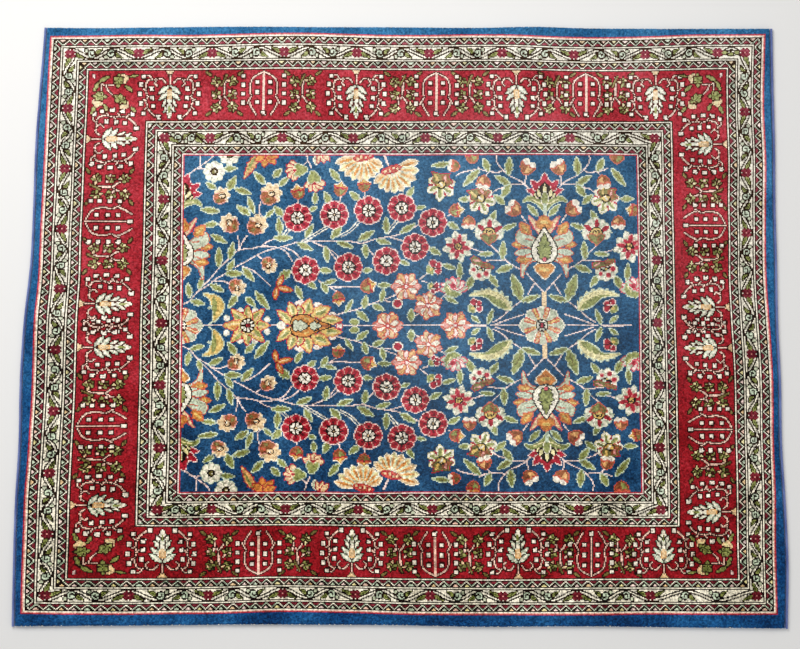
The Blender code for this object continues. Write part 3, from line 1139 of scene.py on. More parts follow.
# Leaves of the large flower on the axis, on one side of it: foot, slope, length and width.
PALMETTE_LEAVES = [
    Leaf(27, 12, 0, 41, 15),
    Leaf(8, 20, 24, 41, 21),
    Leaf(-5, 19, 74, 35, 22),
    Leaf(-13, 20, 104, 21, 14),
    Leaf(-24, 16, 112, 33, 16),
    Leaf(-30, 3, 137, 41, 15),
]


# Pale ovals between those leaves.
PALMETTE_SPOTS = [Leaf(-15, 45, 10, 17, 10), Leaf(23, 40, -25, 19, 10), Leaf(49.5, 22, 0, 12, 11)]


def draw_axis_palmette(pen):
    """The large flower on the axis: a black-edged drop among gold and green leaves. x points to its tip."""
    for hand in (-1, 1):
        for row in PALMETTE_SPOTS:
            spot = pen.at(row.x, hand * row.y, turn=hand * row.turn)
            spot.fill(oval(row.length / 2, row.width / 2), "white", "blush", 0.6)
    for row in PALMETTE_LEAVES:
        for hand in (-1, 1):
            leaf = pen.at(row.x, hand * row.y, turn=hand * row.turn)
            rim = "red" if row.turn > 100 else "salmon"
            heart = pointed(row.length * 0.62, row.width * 0.42, 0.5)
            leaf.fill(saw_edged(row.length, row.width + 5, 4, 0.2), "gold", rim, 0.9)
            leaf.fill(heart + (0.2 * row.length, -hand * 1.5), "olive")
            leaf.line([(0.3 * row.length, hand * 3), (0.75 * row.length, hand * 1.5)], "straw", knots=1.4)
    pen.fill(oval(8.0, 6.8) + (-52, 0), "white", "mint", 0.6)
    pen.fill(oval(5.6, 5.6) + (64, 0), "white", "rose", 0.8)
    for turn in (-50, 50):
        pen.at(60, 0, turn=turn).line([(5, 0), (12, 0)], "red", knots=1.3)
    drop = [(-31, 0), (-31, 12), (-26, 18), (-14, 21), (-2, 21), (10, 16), (24, 9), (46, 0)]
    pen.blob(whole(drop), "orange", "dark", 1.1)
    heart = [(-29, 0), (-28, 7), (-23, 12), (-18, 8), (-14, 12), (-9, 7), (-3, 5), (2, 0)]
    pen.fill(whole(heart), "aqua", "dark", 0.9)
    tip = [(4, 0), (9, 7), (14, 8), (18, 5), (25, 3), (28, 0)]
    pen.fill(whole(tip), "aqua", "dark", 0.8)
    pen.line([(31, 0), (40, 0)], "brown", knots=1.6)
    for hand in (-1, 1):
        pen.line([(-6, hand * 15), (2, hand * 13)], "gold", knots=1.4)
        pen.line([(14, hand * 11), (22, hand * 7)], "dark", knots=0.9)


def draw_large_palmette(pen):
    """The largest flower: a serrated green drop in a cream band, among orange and pale petals. y is up."""
    for hand in (-1, 1):

        def draw_piece(outline, wool, rim):
            pen.blob(flipped(outline, hand), wool, rim, 0.9)

        def draw_petal(x, y, turn, length, width):
            petal = pen.at(hand * x, y, turn=aimed(turn, hand))
            petal.fill(saw_edged(length, width, 3, 0.2), "orange", "salmon", 0.9)
            petal.line([(0.3 * length, 0), (0.7 * length, 0)], "gold", knots=2.0)

        draw_piece([(2, -33), (14, -29), (27, -32), (37, -42), (44, -62), (47, -48), (44, -34), (34, -24),
                    (18, -22), (4, -26)], "aqua", "salmon")
        draw_petal(26, -24, -10, 30, 19)
        draw_piece([(14, -16), (34, -6), (50, -8), (58, -16), (42, -20), (28, -24)], "mint", "salmon")
        draw_petal(40, 2, 4, 24, 15)
        draw_piece([(18, -6), (36, 0), (50, 6), (57, 16), (52, 30), (40, 32), (28, 22), (18, 12)],
                   "aqua", "salmon")
        draw_piece([(26, 2), (36, 8), (44, 20), (34, 22)], "mint", None)
        draw_petal(28, 24, 48, 30, 21)
        draw_piece([(10, 26), (18, 34), (24, 46), (31, 60), (20, 52), (10, 40)], "peach", "rose")
        pen.line([(hand * 22, -14), (hand * 40, -20)], "salmon", knots=1.0)
        pen.line([(hand * 24, 12), (hand * 38, 14)], "salmon", knots=1.0)
        pen.line([(hand * 22, 34), (hand * 28, 48)], "red", knots=1.2)
    bud = [(-15, 38), (-17, 48), (-10, 52), (-8, 58), (0, 62), (8, 58), (10, 52), (17, 48), (15, 38), (0, 32)]
    pen.fill(bud, "orange", "salmon", 0.9)
    pen.line([(-5, 48), (5, 48)], "gold", knots=2.4)
    foot = [(-13, -36), (-20, -42), (-17, -50), (-10, -56), (-6, -62), (0, -66), (6, -62), (10, -56),
            (17, -50), (20, -42), (13, -36), (0, -33)]
    pen.fill(foot, "orange", "ivory", 1.0)
    pen.line([(-7, -46), (6, -48)], "gold", knots=3.0)
    drop = [(0, 36), (6, 28), (14, 16), (22, 2), (25, -10), (22, -22), (14, -31), (0, -34)]
    pen.blob(whole(drop, -1, 1), "ivory", "dark", 1.3)
    core = [(0, 27), (3, 19), (6, 15), (5, 9), (11, 6), (8, 0), (15, -3), (11, -9), (14, -14), (9, -18),
            (10, -24), (5, -26), (0, -30)]
    pen.fill(whole(core, -1, 1), "olive", "dark", 0.9)
    pen.line([(-3, -4), (3, 2)], "moss", knots=1.4)
    pen.dot(0, -27, 4.0, "rose", "dark", 0.6)


def draw_crimson_palmette(pen):
    """A crown of crimson points over three yellow flames and two green wings. y points up."""
    for hand in (-1, 1):
        wing = [(0, -32), (9, -24), (20, -14), (32, -10), (44, -12), (38, -4), (26, 0), (12, -2), (0, -6)]
        pen.blob(flipped(wing, hand), "olive", "mint", 0.9)
        pen.line([(hand * 8, -16), (hand * 26, -7)], "straw", knots=1.2)
        for turn, length in ((16, 38), (46, 41)):
            aim = aimed(turn, hand)
            pen.at(0, 2, turn=aim).fill(saw_edged(length, 20, 4, 0.3), "red", "blush", 0.8)
    pen.at(0, 4, turn=90).fill(saw_edged(42, 24, 4, 0.3), "red", "blush", 0.8)
    for turn in (31, 66, 114, 149):
        pen.at(0, 4, turn=turn).line([(12, 0), (26, 0)], "crimson", knots=1.6)
    dome = [(-24, -2), (-20, 8), (-13, 12), (-8, 22), (0, 28), (8, 22), (13, 12), (20, 8), (24, -2), (0, -8)]
    pen.fill(dome, "dark")
    for x, y, turn, length in ((0, 4, 90, 20), (-10, -2, 106, 17), (10, -2, 74, 17)):
        pen.at(x, y, turn=turn).fill(pointed(length, 7.5, 0.4), "straw")
    for hand in (-1, 1):
        pen.line([(hand * 17, -3), (hand * 20, 3)], "straw", knots=1.4)
        pen.line([(hand * 5, -10), (hand * 14, -3)], "dark")
    pen.blob([(-7, -8), (-5, 2), (0, 8), (5, 2), (7, -8), (0, -22)], "olive", "ivory", 0.7)
    pen.line([(0, -18), (0, -44)], "mint", knots=2.2)


def draw_striped_rosette(pen):
    """Pale pointed petals between red and orange striped wedges round a black-ringed eye."""
    for petal, reach in enumerate((45, 40, 37, 40, 45, 40, 37, 40)):
        leaf = pen.turned(45 * petal)
        leaf.fill(pointed(reach, 30, 0.66), "aqua", "ivory", 0.9)
    for petal in range(8):
        turn = 22.5 + 45 * petal + (3 if petal % 4 in (1, 2) else -3) * (-1 if petal in (3, 7) else 1)
        wedge = pen.turned(turn)
        wedge.fill([(10, -2.5), (35, -6.0), (39, 0), (35, 6.0), (10, 2.5)], "salmon")
        wedge.line([(14, 0), (35, 0)], "peach" if petal % 2 else "gold", knots=1.5)
        for step in (18, 24, 30):
            wedge.line([(step, -2), (step + 1.5, 2)], "orange", knots=0.8)
    pen.dot(0, 0, 13.0, "dark")
    for spot in range(8):
        pen.turned(22 + 45 * spot).dot(8.6, 0, 2.5, "ivory")
    pen.dot(0, 0, 5.0, "dark")
    pen.dot(0, 0, 3.6, "red")


# ---------------------------------------------------------------- the field

Flower = namedtuple("Flower", "x y turn reach")
RED_ROSETTES = [
    Flower(-227, 217, 0, 1.0),
    Flower(-153, 223, 0, 1.0),
    Flower(-84, 232, 0, 1.0),
    Flower(-17, 237, 0, 1.0),
    Flower(45, 207, 0, 1.0),
    Flower(9, 157, 0, 0.96),
    Flower(-48, 130, 0, 0.97),
    Flower(-124, 117, 0, 1.0),
    Flower(-210, 111, 0, 0.97),
]
FLUFFY_FLOWERS = [
    Flower(-378, 262, 52, 15.5),
    Flower(-364, 206, 140, 17.5),
    Flower(-306, 204, 42, 18.5),
    Flower(-279, 266, 55, 20.5),
    Flower(-345, 76, -35, 15.5),
    Flower(-282, 121, -50, 14.5),
]
ORANGE_BUDS = [
    Flower(92, 232, 5, 13.0),
    Flower(-226, 270, 100, 13.0),
    Flower(-141, 276, 80, 13.0),
    Flower(-93, 284, 90, 12.0),
    Flower(-83, 80, 20, 14.0),
    Flower(-144, 54, -85, 12.0),
]
PINK_DAISIES = [
    Flower(-46, 0, 8, 27.0),
    Flower(-8, 78, 0, 28.0),
    Flower(35, 40, 20, 27.0),
    Flower(90, 0, 4, 27.0),
]

def draw_paired_side(pen, hand):
    """The flowers beside the two large palmettes, on the left with hand -1 and on the right with +1."""

    def spot(x, y, turn=0.0):
        across = x if hand < 0 else 2 * PAIR_MIDDLE - x
        return pen.at(across, y, turn if hand < 0 else 180 - turn)

    crescent = pen.at(200, 32) if hand < 0 else Pen(pen.chart, 2 * PAIR_MIDDLE - 200, pen.hand * 32,
                                                    180, 1.0, -pen.hand)
    draw_crescent(crescent)
    draw_lily(spot(141, 256, -72))
    draw_star_flower(spot(96, 158))
    draw_fan_flower(pen.at(158 if hand < 0 else 373, 189))
    draw_side_flower(pen.at(139 if hand < 0 else 389, 115, turn=-14 if hand < 0 else 24))
    draw_bud(spot(117, 206, -88), "white", 12.5)
    draw_bud(spot(206, 236, 148), "white", 15.0)
    draw_bud(spot(236, 320, 62), "white", 14.5)
    draw_bud(spot(146, 288, -100), "white", 13.0)
    draw_red_bud(pen.at(128 if hand < 0 else 400, 38, turn=40 if hand < 0 else 140), 13.5)
    draw_pink_cluster(pen.at(86 if hand < 0 else 446, 76))


def draw_tree(pen):
    """The flowering branches that sweep from the left end towards the middle."""
    draw_stems(pen, TREE_STEMS)
    for route in DOUBLE_TWIGS:
        pen.line([(x - 2.2, y + 1.4) for x, y in route], "ivory", knots=0.9)
        pen.line([(x + 2.2, y - 1.4) for x, y in route], "ivory", knots=0.9)
    draw_leaves(pen, TREE_LEAVES)
    draw_leaves(pen, FLOWER_LEAVES)
    for row in RED_ROSETTES:
        draw_red_rosette(pen.at(row.x, row.y, row.turn, row.reach))
    for row in ORANGE_BUDS:
        draw_bud(pen.at(row.x, row.y, row.turn), "orange", row.reach)


def draw_left_corner(pen):
    """Loose flowers above the tree, and the half flowers that the left line cuts."""
    draw_leaves(pen, CORNER_LEAVES)
    for row in FLUFFY_FLOWERS:
        draw_fluffy_flower(pen.at(row.x, row.y, row.turn), row.reach)
    draw_white_daisy(pen.at(-394, 311))
    draw_white_daisy(pen.at(-364, 346))
    draw_crimson_palmette(pen.at(-458, 262, turn=-14))
    draw_large_palmette(pen.at(-460, 155))
    leaf = pen.at(-306, 348, turn=241)
    leaf.fill(saw_edged(58, 19, 5, 0.3), "apricot", "red", 0.9)
    leaf.fill(saw_edged(40, 7, 4, 0.2) + (5, -2), "olive")
    for turn, length in ((-95, 30), (-50, 30), (-140, 26), (-20, 26)):
        pen.at(-291, 350, turn=turn).fill(pointed(length, 15, 0.5), "orange", "red", 0.9)
    draw_trefoil(pen.at(-263, 77))
    draw_calyx_flower(pen.at(-230, 314, turn=185))
    draw_calyx_flower(pen.at(-193, 290, turn=-82))
    pen.at(-188, 346, turn=-95).fill(pointed(20, 10, 0.5), "aqua", "ivory", 0.8)
    for turn in (-110, -80, -50):
        pen.at(-178, 352, turn=turn).fill(pointed(24, 10, 0.5), "peach", "red", 0.9)


def draw_middle(pen):
    """The daisies and small buds on the middle of the axis, and the two ray fans at the upper line."""
    draw_leaves(pen, MIDDLE_LEAVES)
    for row in PINK_DAISIES:
        draw_daisy(pen.at(row.x, row.y, row.turn), row.reach)
    draw_red_bud(pen.at(46, 115, turn=32), 14.5)
    draw_red_bud(pen.at(46, 76, turn=-28), 10.5)
    pen.dot(-26, 44, 8.0, "red", "white", 1.2)
    draw_ray_fan(pen.at(-94, 341, turn=192), 138)
    draw_ray_fan(pen.at(-39, 315, turn=18), -158)
    pen.line([(-44, 324), (-52, 344)], STEM)
    draw_lily(pen.at(62, 284, turn=-98))
    draw_bud(pen.at(86, 322, turn=172), "white", 11.0)
    draw_bud(pen.at(124, 342, turn=95), "orange", 13.0)


def draw_right_end(pen):
    """The two large flowers on their own stem, and the branches on both sides of them."""
    draw_stems(pen, PAIRED_STEMS, between=PAIR_MIDDLE)
    pen.line([(PAIR_MIDDLE, 20), (PAIR_MIDDLE, 64)], "peach", knots=4.4)
    draw_leaves(pen, PAIRED_LEAVES, between=PAIR_MIDDLE)
    for hand in (-1, 1):
        draw_paired_side(pen, hand)
    draw_leaf(pen.at(405, 316, -52), 44, 13)
    draw_leaf(pen.at(422, 255, 0), 25, 11)
    draw_leaf(pen.at(432, 90, 85), 34, 11)
    draw_bud(pen.at(446, 232, 170), "orange", 12.0)
    draw_bud(pen.at(416, 344, 88), "salmon", 15.0)
    draw_crimson_palmette(pen.at(270, 262))
    draw_large_palmette(pen.at(268, 160))


def draw_on_axis(pen):
    """What the axis cuts in half: it is drawn whole, so both halves of the field share it."""
    for start, finish in ((-420, -372), (-282, -268), (-150, -70), (-22, 66), (112, 150), (160, 222),
                          (312, 374), (380, 440)):
        pen.line([(start, 0.5 * KNOT_Y), (finish, 0.5 * KNOT_Y)], STEM)
    draw_striped_rosette(pen.at(-459, 0))
    draw_gold_star(pen.at(-325, 0))
    draw_axis_palmette(pen.at(-206, 0))
    for hand in (-1, 1):
        pen.at(-112, 0, turn=hand * 90).fill(pointed(14, 17, 0.6), "olive", "mint", 1.0)
    draw_striped_rosette(pen.at(PAIR_MIDDLE - 5, 0))
    pen.line([(-114, 0), (-108, 0)], "ivory", knots=2)


def draw_golden_crescent(pen):
    """The two-toned leaf by the first rosette."""
    pen.blob([(-394, 8), (-380, 20), (-373, 34), (-374, 46), (-382, 56), (-396, 62), (-413, 63),
                           (-402, 54), (-397, 40), (-393, 24)], "gold", "mint", 1.0)
    pen.blob([(-391, 18), (-387, 30), (-386, 44), (-393, 57), (-397, 42)], "olive")
    pen.dot(-401, 36, 3.2, "mint")
    pen.line([(-394, 9), (-402, 2)], "mint")


def draw_half(pen):
    """Everything on one side of the axis; the pen's own hand mirrors it for the other."""
    draw_stems(pen, LOOSE_STEMS)
    draw_tree(pen)
    draw_golden_crescent(pen)
    draw_left_corner(pen)
    draw_middle(pen)
    draw_right_end(pen)


# The weaver beat the lower half down a little tighter than the upper.
LOWER_BEAT = 0.94


def draw_field(chart):
    chart.dye[:] = DYE["blue"]
    draw_half(Pen(chart))
    draw_half(Pen(Chart(chart.dye, chart.x, chart.y / LOWER_BEAT), hand=-1))
    draw_on_axis(Pen(chart))


def knot_chart():
    """The whole rug's chart: field first, then everything round it."""
    x = (np.arange(COLUMNS) - EDGE_LEFT - BORDER_KNOTS + 0.5) * KNOT_X - FIELD_X
    y = (np.arange(ROWS) - ROWS_UNDER + 0.5) * KNOT_Y
    chart = Chart(np.zeros((ROWS, COLUMNS), int), x, y)
    rows = slice(EDGE_LOWER + BORDER_KNOTS, ROWS - EDGE_UPPER - BORDER_KNOTS)
    columns = slice(EDGE_LEFT + BORDER_KNOTS, COLUMNS - EDGE_RIGHT - BORDER_KNOTS)
    depth, along = ring_depth()
    draw_stripes(chart, depth, along)
    for row in VINES:
        draw_guard_vine(chart, row)
    draw_main_border(chart)
    draw_field(Chart(chart.dye[rows, columns], x[columns], y[rows]))
    return chart.dye, depth


# ---------------------------------------------------------------- how the chart lies on the rug

BODY_LOW, BODY_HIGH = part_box("rug_body")
RUG_TOP = BODY_HIGH.z / MM
FOUNDATION_TOP = 3.0
RIM_INSET = 4.5

# How far knots stray: each corner sideways and in height, whole stretches of rows, and the swell of the nap.
KNOT_WANDER = 0.20
KNOT_JITTER = 0.22
ROW_SWAY = 0.9
SWAY_KNOTS = 42
NAP_SWELL = 0.25
SWELL_KNOTS = 30
EDGE_FALL = 0.3

# The outer line: how far the cream line just inside the plain edge lies from the rug's own centre.
SideLine = namedtuple("SideLine", "y left right")
SIDE_LINES = [
    SideLine(-590, -745, 739),
    SideLine(-460, -744, 738),
    SideLine(-340, -742, 740),
    SideLine(-225, -737, 739),
    SideLine(-105, -732, 740),
    SideLine(14, -731, 734),
    SideLine(75, -726, 731),
    SideLine(195, -723, 732),
    SideLine(317, -719, 735),
    SideLine(440, -715, 734),
    SideLine(600, -711, 741),
]
EndLine = namedtuple("EndLine", "x lower upper")
END_LINES = [
    EndLine(-760, -574, 581),
    EndLine(-600, -575, 583),
    EndLine(-400, -574, 585),
    EndLine(-210, -570, 588),
    EndLine(0, -575, 583),
    EndLine(240, -576, 585),
    EndLine(370, -576, 580),
    EndLine(480, -575, 580),
    EndLine(600, -575, 585),
    EndLine(760, -576, 586),
]


def smooth_at(places, values, where):
    """Values between the rows of a table, on a smooth curve through them."""
    places = np.asarray(places, float)
    values = np.asarray(values, float)
    slopes = np.gradient(values, places)
    spot = np.clip(np.searchsorted(places, where) - 1, 0, len(places) - 2)
    width = places[spot + 1] - places[spot]
    t = np.clip((where - places[spot]) / width, 0.0, 1.0)
    return (
        (2 * t**3 - 3 * t**2 + 1) * values[spot]
        + (t**3 - 2 * t**2 + t) * width * slopes[spot]
        + (3 * t**2 - 2 * t**3) * values[spot + 1]
        + (t**3 - t**2) * width * slopes[spot + 1]
    )


def column_of(table, name):
    return [getattr(row, name) for row in table]


def body_sides():
    """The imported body's outline at the floor, as x of its two long sides by y, and y of its two ends by x."""
    points = np.array([v.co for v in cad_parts["rug_body"].data.vertices]) / MM
    floor = np.unique(points[points[:, 2] < 0.01][:, :2].round(3), axis=0)
    turned = np.arctan2(floor[:, 1], floor[:, 0])
    floor = floor[np.argsort(turned)]
    first = int(np.argmax(floor @ np.array((-1, -1))))
    floor = np.roll(floor, -first, axis=0)
    lower_right = int(np.argmax(floor @ np.array((1, -1))))
    upper_right = int(np.argmax(floor @ np.array((1, 1))))
    upper_left = int(np.argmax(floor @ np.array((-1, 1))))
    left = np.vstack([floor[:1], floor[: upper_left - 1 : -1]])
    right = floor[lower_right : upper_right + 1]
    lower = floor[: lower_right + 1]
    upper = floor[upper_right : upper_left + 1][::-1]
    return left, right, lower, upper


LEFT_SIDE, RIGHT_SIDE, LOWER_END, UPPER_END = body_sides()


def side_face(side, y):
    return np.interp(y, side[:, 1], side[:, 0])


def end_face(end, x):
    return np.interp(x, end[:, 0], end[:, 1])


def laid(knots, stops, faces):
    """Where knot lines lie between stops: piecewise even, from one face of the rug to the other."""
    position = np.zeros(np.broadcast(knots, faces[0]).shape)
    for index in range(len(stops) - 1):
        inside = (knots >= stops[index]) & (knots <= stops[index + 1])
        share = (knots - stops[index]) / (stops[index + 1] - stops[index])
        value = faces[index] + (faces[index + 1] - faces[index]) * share
        position = np.where(inside, value, position)
    return position


def knot_grid():
    """The corners of every knot, in millimetres, on the pile's face."""
    columns = np.arange(COLUMNS + 1)[None, :]
    rows = np.arange(ROWS + 1)[:, None]
    right = COLUMNS - EDGE_RIGHT
    upper = ROWS - EDGE_UPPER
    x_stops = [0, EDGE_LEFT, EDGE_LEFT + BORDER_KNOTS, right - BORDER_KNOTS, right, COLUMNS]
    y_stops = [0, EDGE_LOWER, EDGE_LOWER + BORDER_KNOTS, upper - BORDER_KNOTS, upper, ROWS]
    x = CHART_X - FIELD_X + (columns - EDGE_LEFT - BORDER_KNOTS) * KNOT_X + 0.0 * rows
    y = CHART_Y + (rows - ROWS_UNDER) * KNOT_Y + 0.0 * columns
    line_y = column_of(SIDE_LINES, "y")
    line_x = column_of(END_LINES, "x")
    # Rows and columns bend each other, so each is laid again by the other until they settle.
    for _ in range(4):
        faces = [
            side_face(LEFT_SIDE, y) + RIM_INSET,
            smooth_at(line_y, column_of(SIDE_LINES, "left"), y),
            CHART_X - FIELD_X + 0.0 * y,
            CHART_X + FIELD_X + 0.0 * y,
            smooth_at(line_y, column_of(SIDE_LINES, "right"), y),
            side_face(RIGHT_SIDE, y) - RIM_INSET,
        ]
        new_x = laid(columns, x_stops, faces)
        faces = [
            end_face(LOWER_END, x) + RIM_INSET,
            smooth_at(line_x, column_of(END_LINES, "lower"), x),
            CHART_Y - FIELD_UNDER + 0.0 * x,
            CHART_Y + FIELD_OVER + 0.0 * x,
            smooth_at(line_x, column_of(END_LINES, "upper"), x),
            end_face(UPPER_END, x) - RIM_INSET,
        ]
        y = laid(rows, y_stops, faces)
        x = new_x
    return x, y


def slow_noise(generator, shape, cell):
    """Smooth random values, one new value each so many knots, from -1 to 1."""
    rows = int(shape[0] / cell) + 3
    columns = int(shape[1] / cell) + 3
    coarse = generator.uniform(-1.0, 1.0, (rows, columns))
    down = np.linspace(0, rows - 2, shape[0])
    along = np.linspace(0, columns - 2, shape[1])
    r = down.astype(int)
    c = along.astype(int)
    fr = (down - r)[:, None]
    fc = (along - c)[None, :]
    fr = fr * fr * (3 - 2 * fr)
    fc = fc * fc * (3 - 2 * fc)
    top = coarse[r][:, c] * (1 - fc) + coarse[r][:, c + 1] * fc
    bottom = coarse[r + 1][:, c] * (1 - fc) + coarse[r + 1][:, c + 1] * fc
    return top * (1 - fr) + bottom * fr


def pile_points(generator):
    """Every knot corner in metres, each a little off its place, as tied knots stand."""
    plain_x, plain_y = knot_grid()
    shape = plain_x.shape
    wander = generator.uniform(-KNOT_WANDER, KNOT_WANDER, (2,) + shape)
    x = plain_x + wander[0] + ROW_SWAY * slow_noise(generator, shape, SWAY_KNOTS)
    y = plain_y + wander[1] + ROW_SWAY * slow_noise(generator, shape, SWAY_KNOTS)
    z = RUG_TOP - KNOT_JITTER + generator.uniform(-KNOT_JITTER, KNOT_JITTER, shape)
    z = z - NAP_SWELL + NAP_SWELL * slow_noise(generator, shape, SWELL_KNOTS)
    edge = np.ones(shape, bool)
    edge[1:-1, 1:-1] = False
    x[edge] = plain_x[edge]
    y[edge] = plain_y[edge]
    z[edge] = RUG_TOP - EDGE_FALL
    return np.stack([x, y, z], axis=-1) * MM


# ---------------------------------------------------------------- meshes


def put(name, data):
    """A new object in the scene."""
    obj = bpy.data.objects.new(name, data)
    bpy.context.scene.collection.objects.link(obj)
    return obj


def new_object(name, points, faces, material):
    mesh = bpy.data.meshes.new(name)
    mesh.from_pydata(points, [], faces)
    mesh.update()
    mesh.materials.append(material)
    return put(name, mesh)


def grid_object(name, points, faces, material):
    """A mesh of four-sided faces, written straight into its arrays because there are so many."""
    mesh = bpy.data.meshes.new(name)
    count = len(faces)
    mesh.vertices.add(len(points))
    mesh.vertices.foreach_set("co", points.astype(np.float32).ravel())
    mesh.loops.add(count * 4)
    mesh.loops.foreach_set("vertex_index", faces.astype(np.int32).ravel())
    mesh.polygons.add(count)
    mesh.polygons.foreach_set("loop_start", np.arange(0, count * 4, 4, dtype=np.int32))
    mesh.update(calc_edges=True)
    mesh.materials.append(material)
    return put(name, mesh)


def set_face_values(obj, name, values):
    layer = obj.data.attributes.new(name, "FLOAT", "FACE")
    layer.data.foreach_set("value", np.asarray(values, np.float32).ravel())


def add_flat_map(obj):
    """A map laid straight down on the piece, filling the square, for the finish to be painted through."""
    mesh = obj.data
    points = np.zeros(len(mesh.vertices) * 3, np.float32)
    mesh.vertices.foreach_get("co", points)
    points = points.reshape(-1, 3)[:, :2]
    low = points.min(axis=0)
    span = points.max(axis=0) - low
    margin = 0.002
    corners = np.zeros(len(mesh.loops), np.int32)
    mesh.loops.foreach_get("vertex_index", corners)
    flat = margin + (1.0 - 2 * margin) * (points - low) / span
    layer = mesh.uv_layers.new(name="OFBake")
    layer.data.foreach_set("uv", flat[corners].astype(np.float32).ravel())


def pile_piece(name, points, chosen, dye, shade, material):
    """The knots chosen by a mask, as one piece with only the corners it uses."""
    rows, columns = np.nonzero(chosen)
    across = COLUMNS + 1
    first = rows * across + columns
    faces = np.stack([first, first + 1, first + across + 1, first + across], axis=1)
    used, compact = np.unique(faces, return_inverse=True)
    obj = grid_object(name, points.reshape(-1, 3)[used], compact.reshape(-1, 4), material)
    set_face_values(obj, "dye", dye[chosen])
    set_face_values(obj, "shade", shade[chosen])
    add_flat_map(obj)
    return obj


# How much a knot's shade strays from a half: by tuft, by clump of four, by batch of rows and by slow wear.
TUFT_SPREAD = 0.26
CLUMP_SPREAD = 0.19
BATCH_SHIFT = 0.05
BATCH_ROWS = 9
WEAR_SHIFT = 0.08
WEAR_KNOTS = 14


def knot_shades(generator):
    """How light each knot is: each tuft its own, rows dyed in batches, and slow wear."""
    shape = (ROWS, COLUMNS)
    tuft = generator.normal(0.0, TUFT_SPREAD, shape)
    clump = generator.normal(0.0, CLUMP_SPREAD, (ROWS // 2 + 1, COLUMNS // 2 + 1))
    clump = np.repeat(np.repeat(clump, 2, axis=0), 2, axis=1)[:ROWS, :COLUMNS]
    batches = BATCH_SHIFT * slow_noise(generator, (ROWS, 1), BATCH_ROWS)
    wear = WEAR_SHIFT * slow_noise(generator, shape, WEAR_KNOTS)
    return np.clip(0.5 + tuft + clump + batches + wear, 0.0, 1.0)


def build_pile(generator, material):
    """All the knots, in rings from the field out, each ring in a left and a right half."""
    dye, depth = knot_chart()
    shade = knot_shades(generator)
    points = pile_points(generator)
    left = np.zeros((ROWS, COLUMNS), bool)
    left[:, : COLUMNS // 2] = True
    first_main = GUARD_KNOTS
    first_inner = GUARD_KNOTS + MAIN_KNOTS
    rings = [
        ("pile_field", depth >= BORDER_KNOTS),
        ("pile_inner_guard", (depth >= first_inner) & (depth < BORDER_KNOTS)),
        ("pile_main_border", (depth >= first_main) & (depth < first_inner)),
        ("pile_outer_guard", (depth >= 0) & (depth < first_main)),
        ("pile_plain_edge", depth < 0),
    ]
    pieces = []
    for name, ring in rings:
        for half, side in (("left", left), ("right", ~left)):
            pieces.append(pile_piece(f"{name}_{half}", points, ring & side, dye, shade, material))
    return pieces, points, dye


def perimeter(grid):
    """The grid's outer points in order, anticlockwise from its lower left corner."""
    return np.concatenate([grid[0, :-1], grid[:-1, -1], grid[-1, :0:-1], grid[:0:-1, 0]])


# Steps of the rolled-over edge: how far inside the rug's face each lies, and how far below its top.
RimStep = namedtuple("RimStep", "inset fall")
RIM_STEPS = [
    RimStep(2.6, 0.95),
    RimStep(1.1, 2.4),
    RimStep(0.25, 4.4),
    RimStep(0.15, 6.6),
    RimStep(0.6, RUG_TOP - 0.55),
]
RIM_RAGGED = 0.7
RIM_TUFT_SPREAD = 0.22
RIM_STEP_SPREAD = 0.08


def build_rim(points, material):
    """The pile's own end face: the plain edge rolled over and down to the floor all the way round."""
    top = perimeter(points) / MM
    x = top[:, 0]
    y = top[:, 1]
    count = len(top)
    place = np.arange(count)
    right_end = COLUMNS + ROWS
    left_start = right_end + COLUMNS
    on_lower = place <= COLUMNS
    on_right = (place >= COLUMNS) & (place <= right_end)
    on_upper = (place >= right_end) & (place <= left_start)
    on_left = (place >= left_start) | (place == 0)
    generator = np.random.default_rng(RANDOM_SEED + 5)
    ragged = generator.uniform(0.0, RIM_RAGGED, count)
    rings = [top]
    for step in RIM_STEPS:
        inset = step.inset + ragged
        ring = top.copy()
        ring[:, 0] = np.where(on_left, side_face(LEFT_SIDE, y) + inset, ring[:, 0])
        ring[:, 0] = np.where(on_right, side_face(RIGHT_SIDE, y) - inset, ring[:, 0])
        ring[:, 1] = np.where(on_lower, end_face(LOWER_END, x) + inset, ring[:, 1])
        ring[:, 1] = np.where(on_upper, end_face(UPPER_END, x) - inset, ring[:, 1])
        ring[:, 2] = RUG_TOP - step.fall
        rings.append(ring)
    faces = []
    for level in range(len(RIM_STEPS)):
        here = level * count + place
        after = level * count + (place + 1) % count
        faces.append(np.stack([here, here + count, after + count, after], axis=1))
    faces = np.concatenate(faces)
    obj = grid_object("pile_rim", np.concatenate(rings) * MM, faces, material)
    level_of = np.repeat(np.arange(len(RIM_STEPS)), count)
    tuft = np.tile(generator.normal(0, RIM_TUFT_SPREAD, count), len(RIM_STEPS))
    shade = 0.5 + tuft + generator.normal(0, RIM_STEP_SPREAD, len(faces))
    set_face_values(obj, "dye", np.where(level_of > 1, DYE["edge_light"], DYE["edge_blue"]))
    set_face_values(obj, "shade", np.clip(shade, 0, 1))
    return obj


# The back takes every third knot line, and is spread by these shares to reach under the rim.
BACK_STEP = 3
BACK_SPREAD_X = 1.0045
BACK_SPREAD_Y = 1.0055


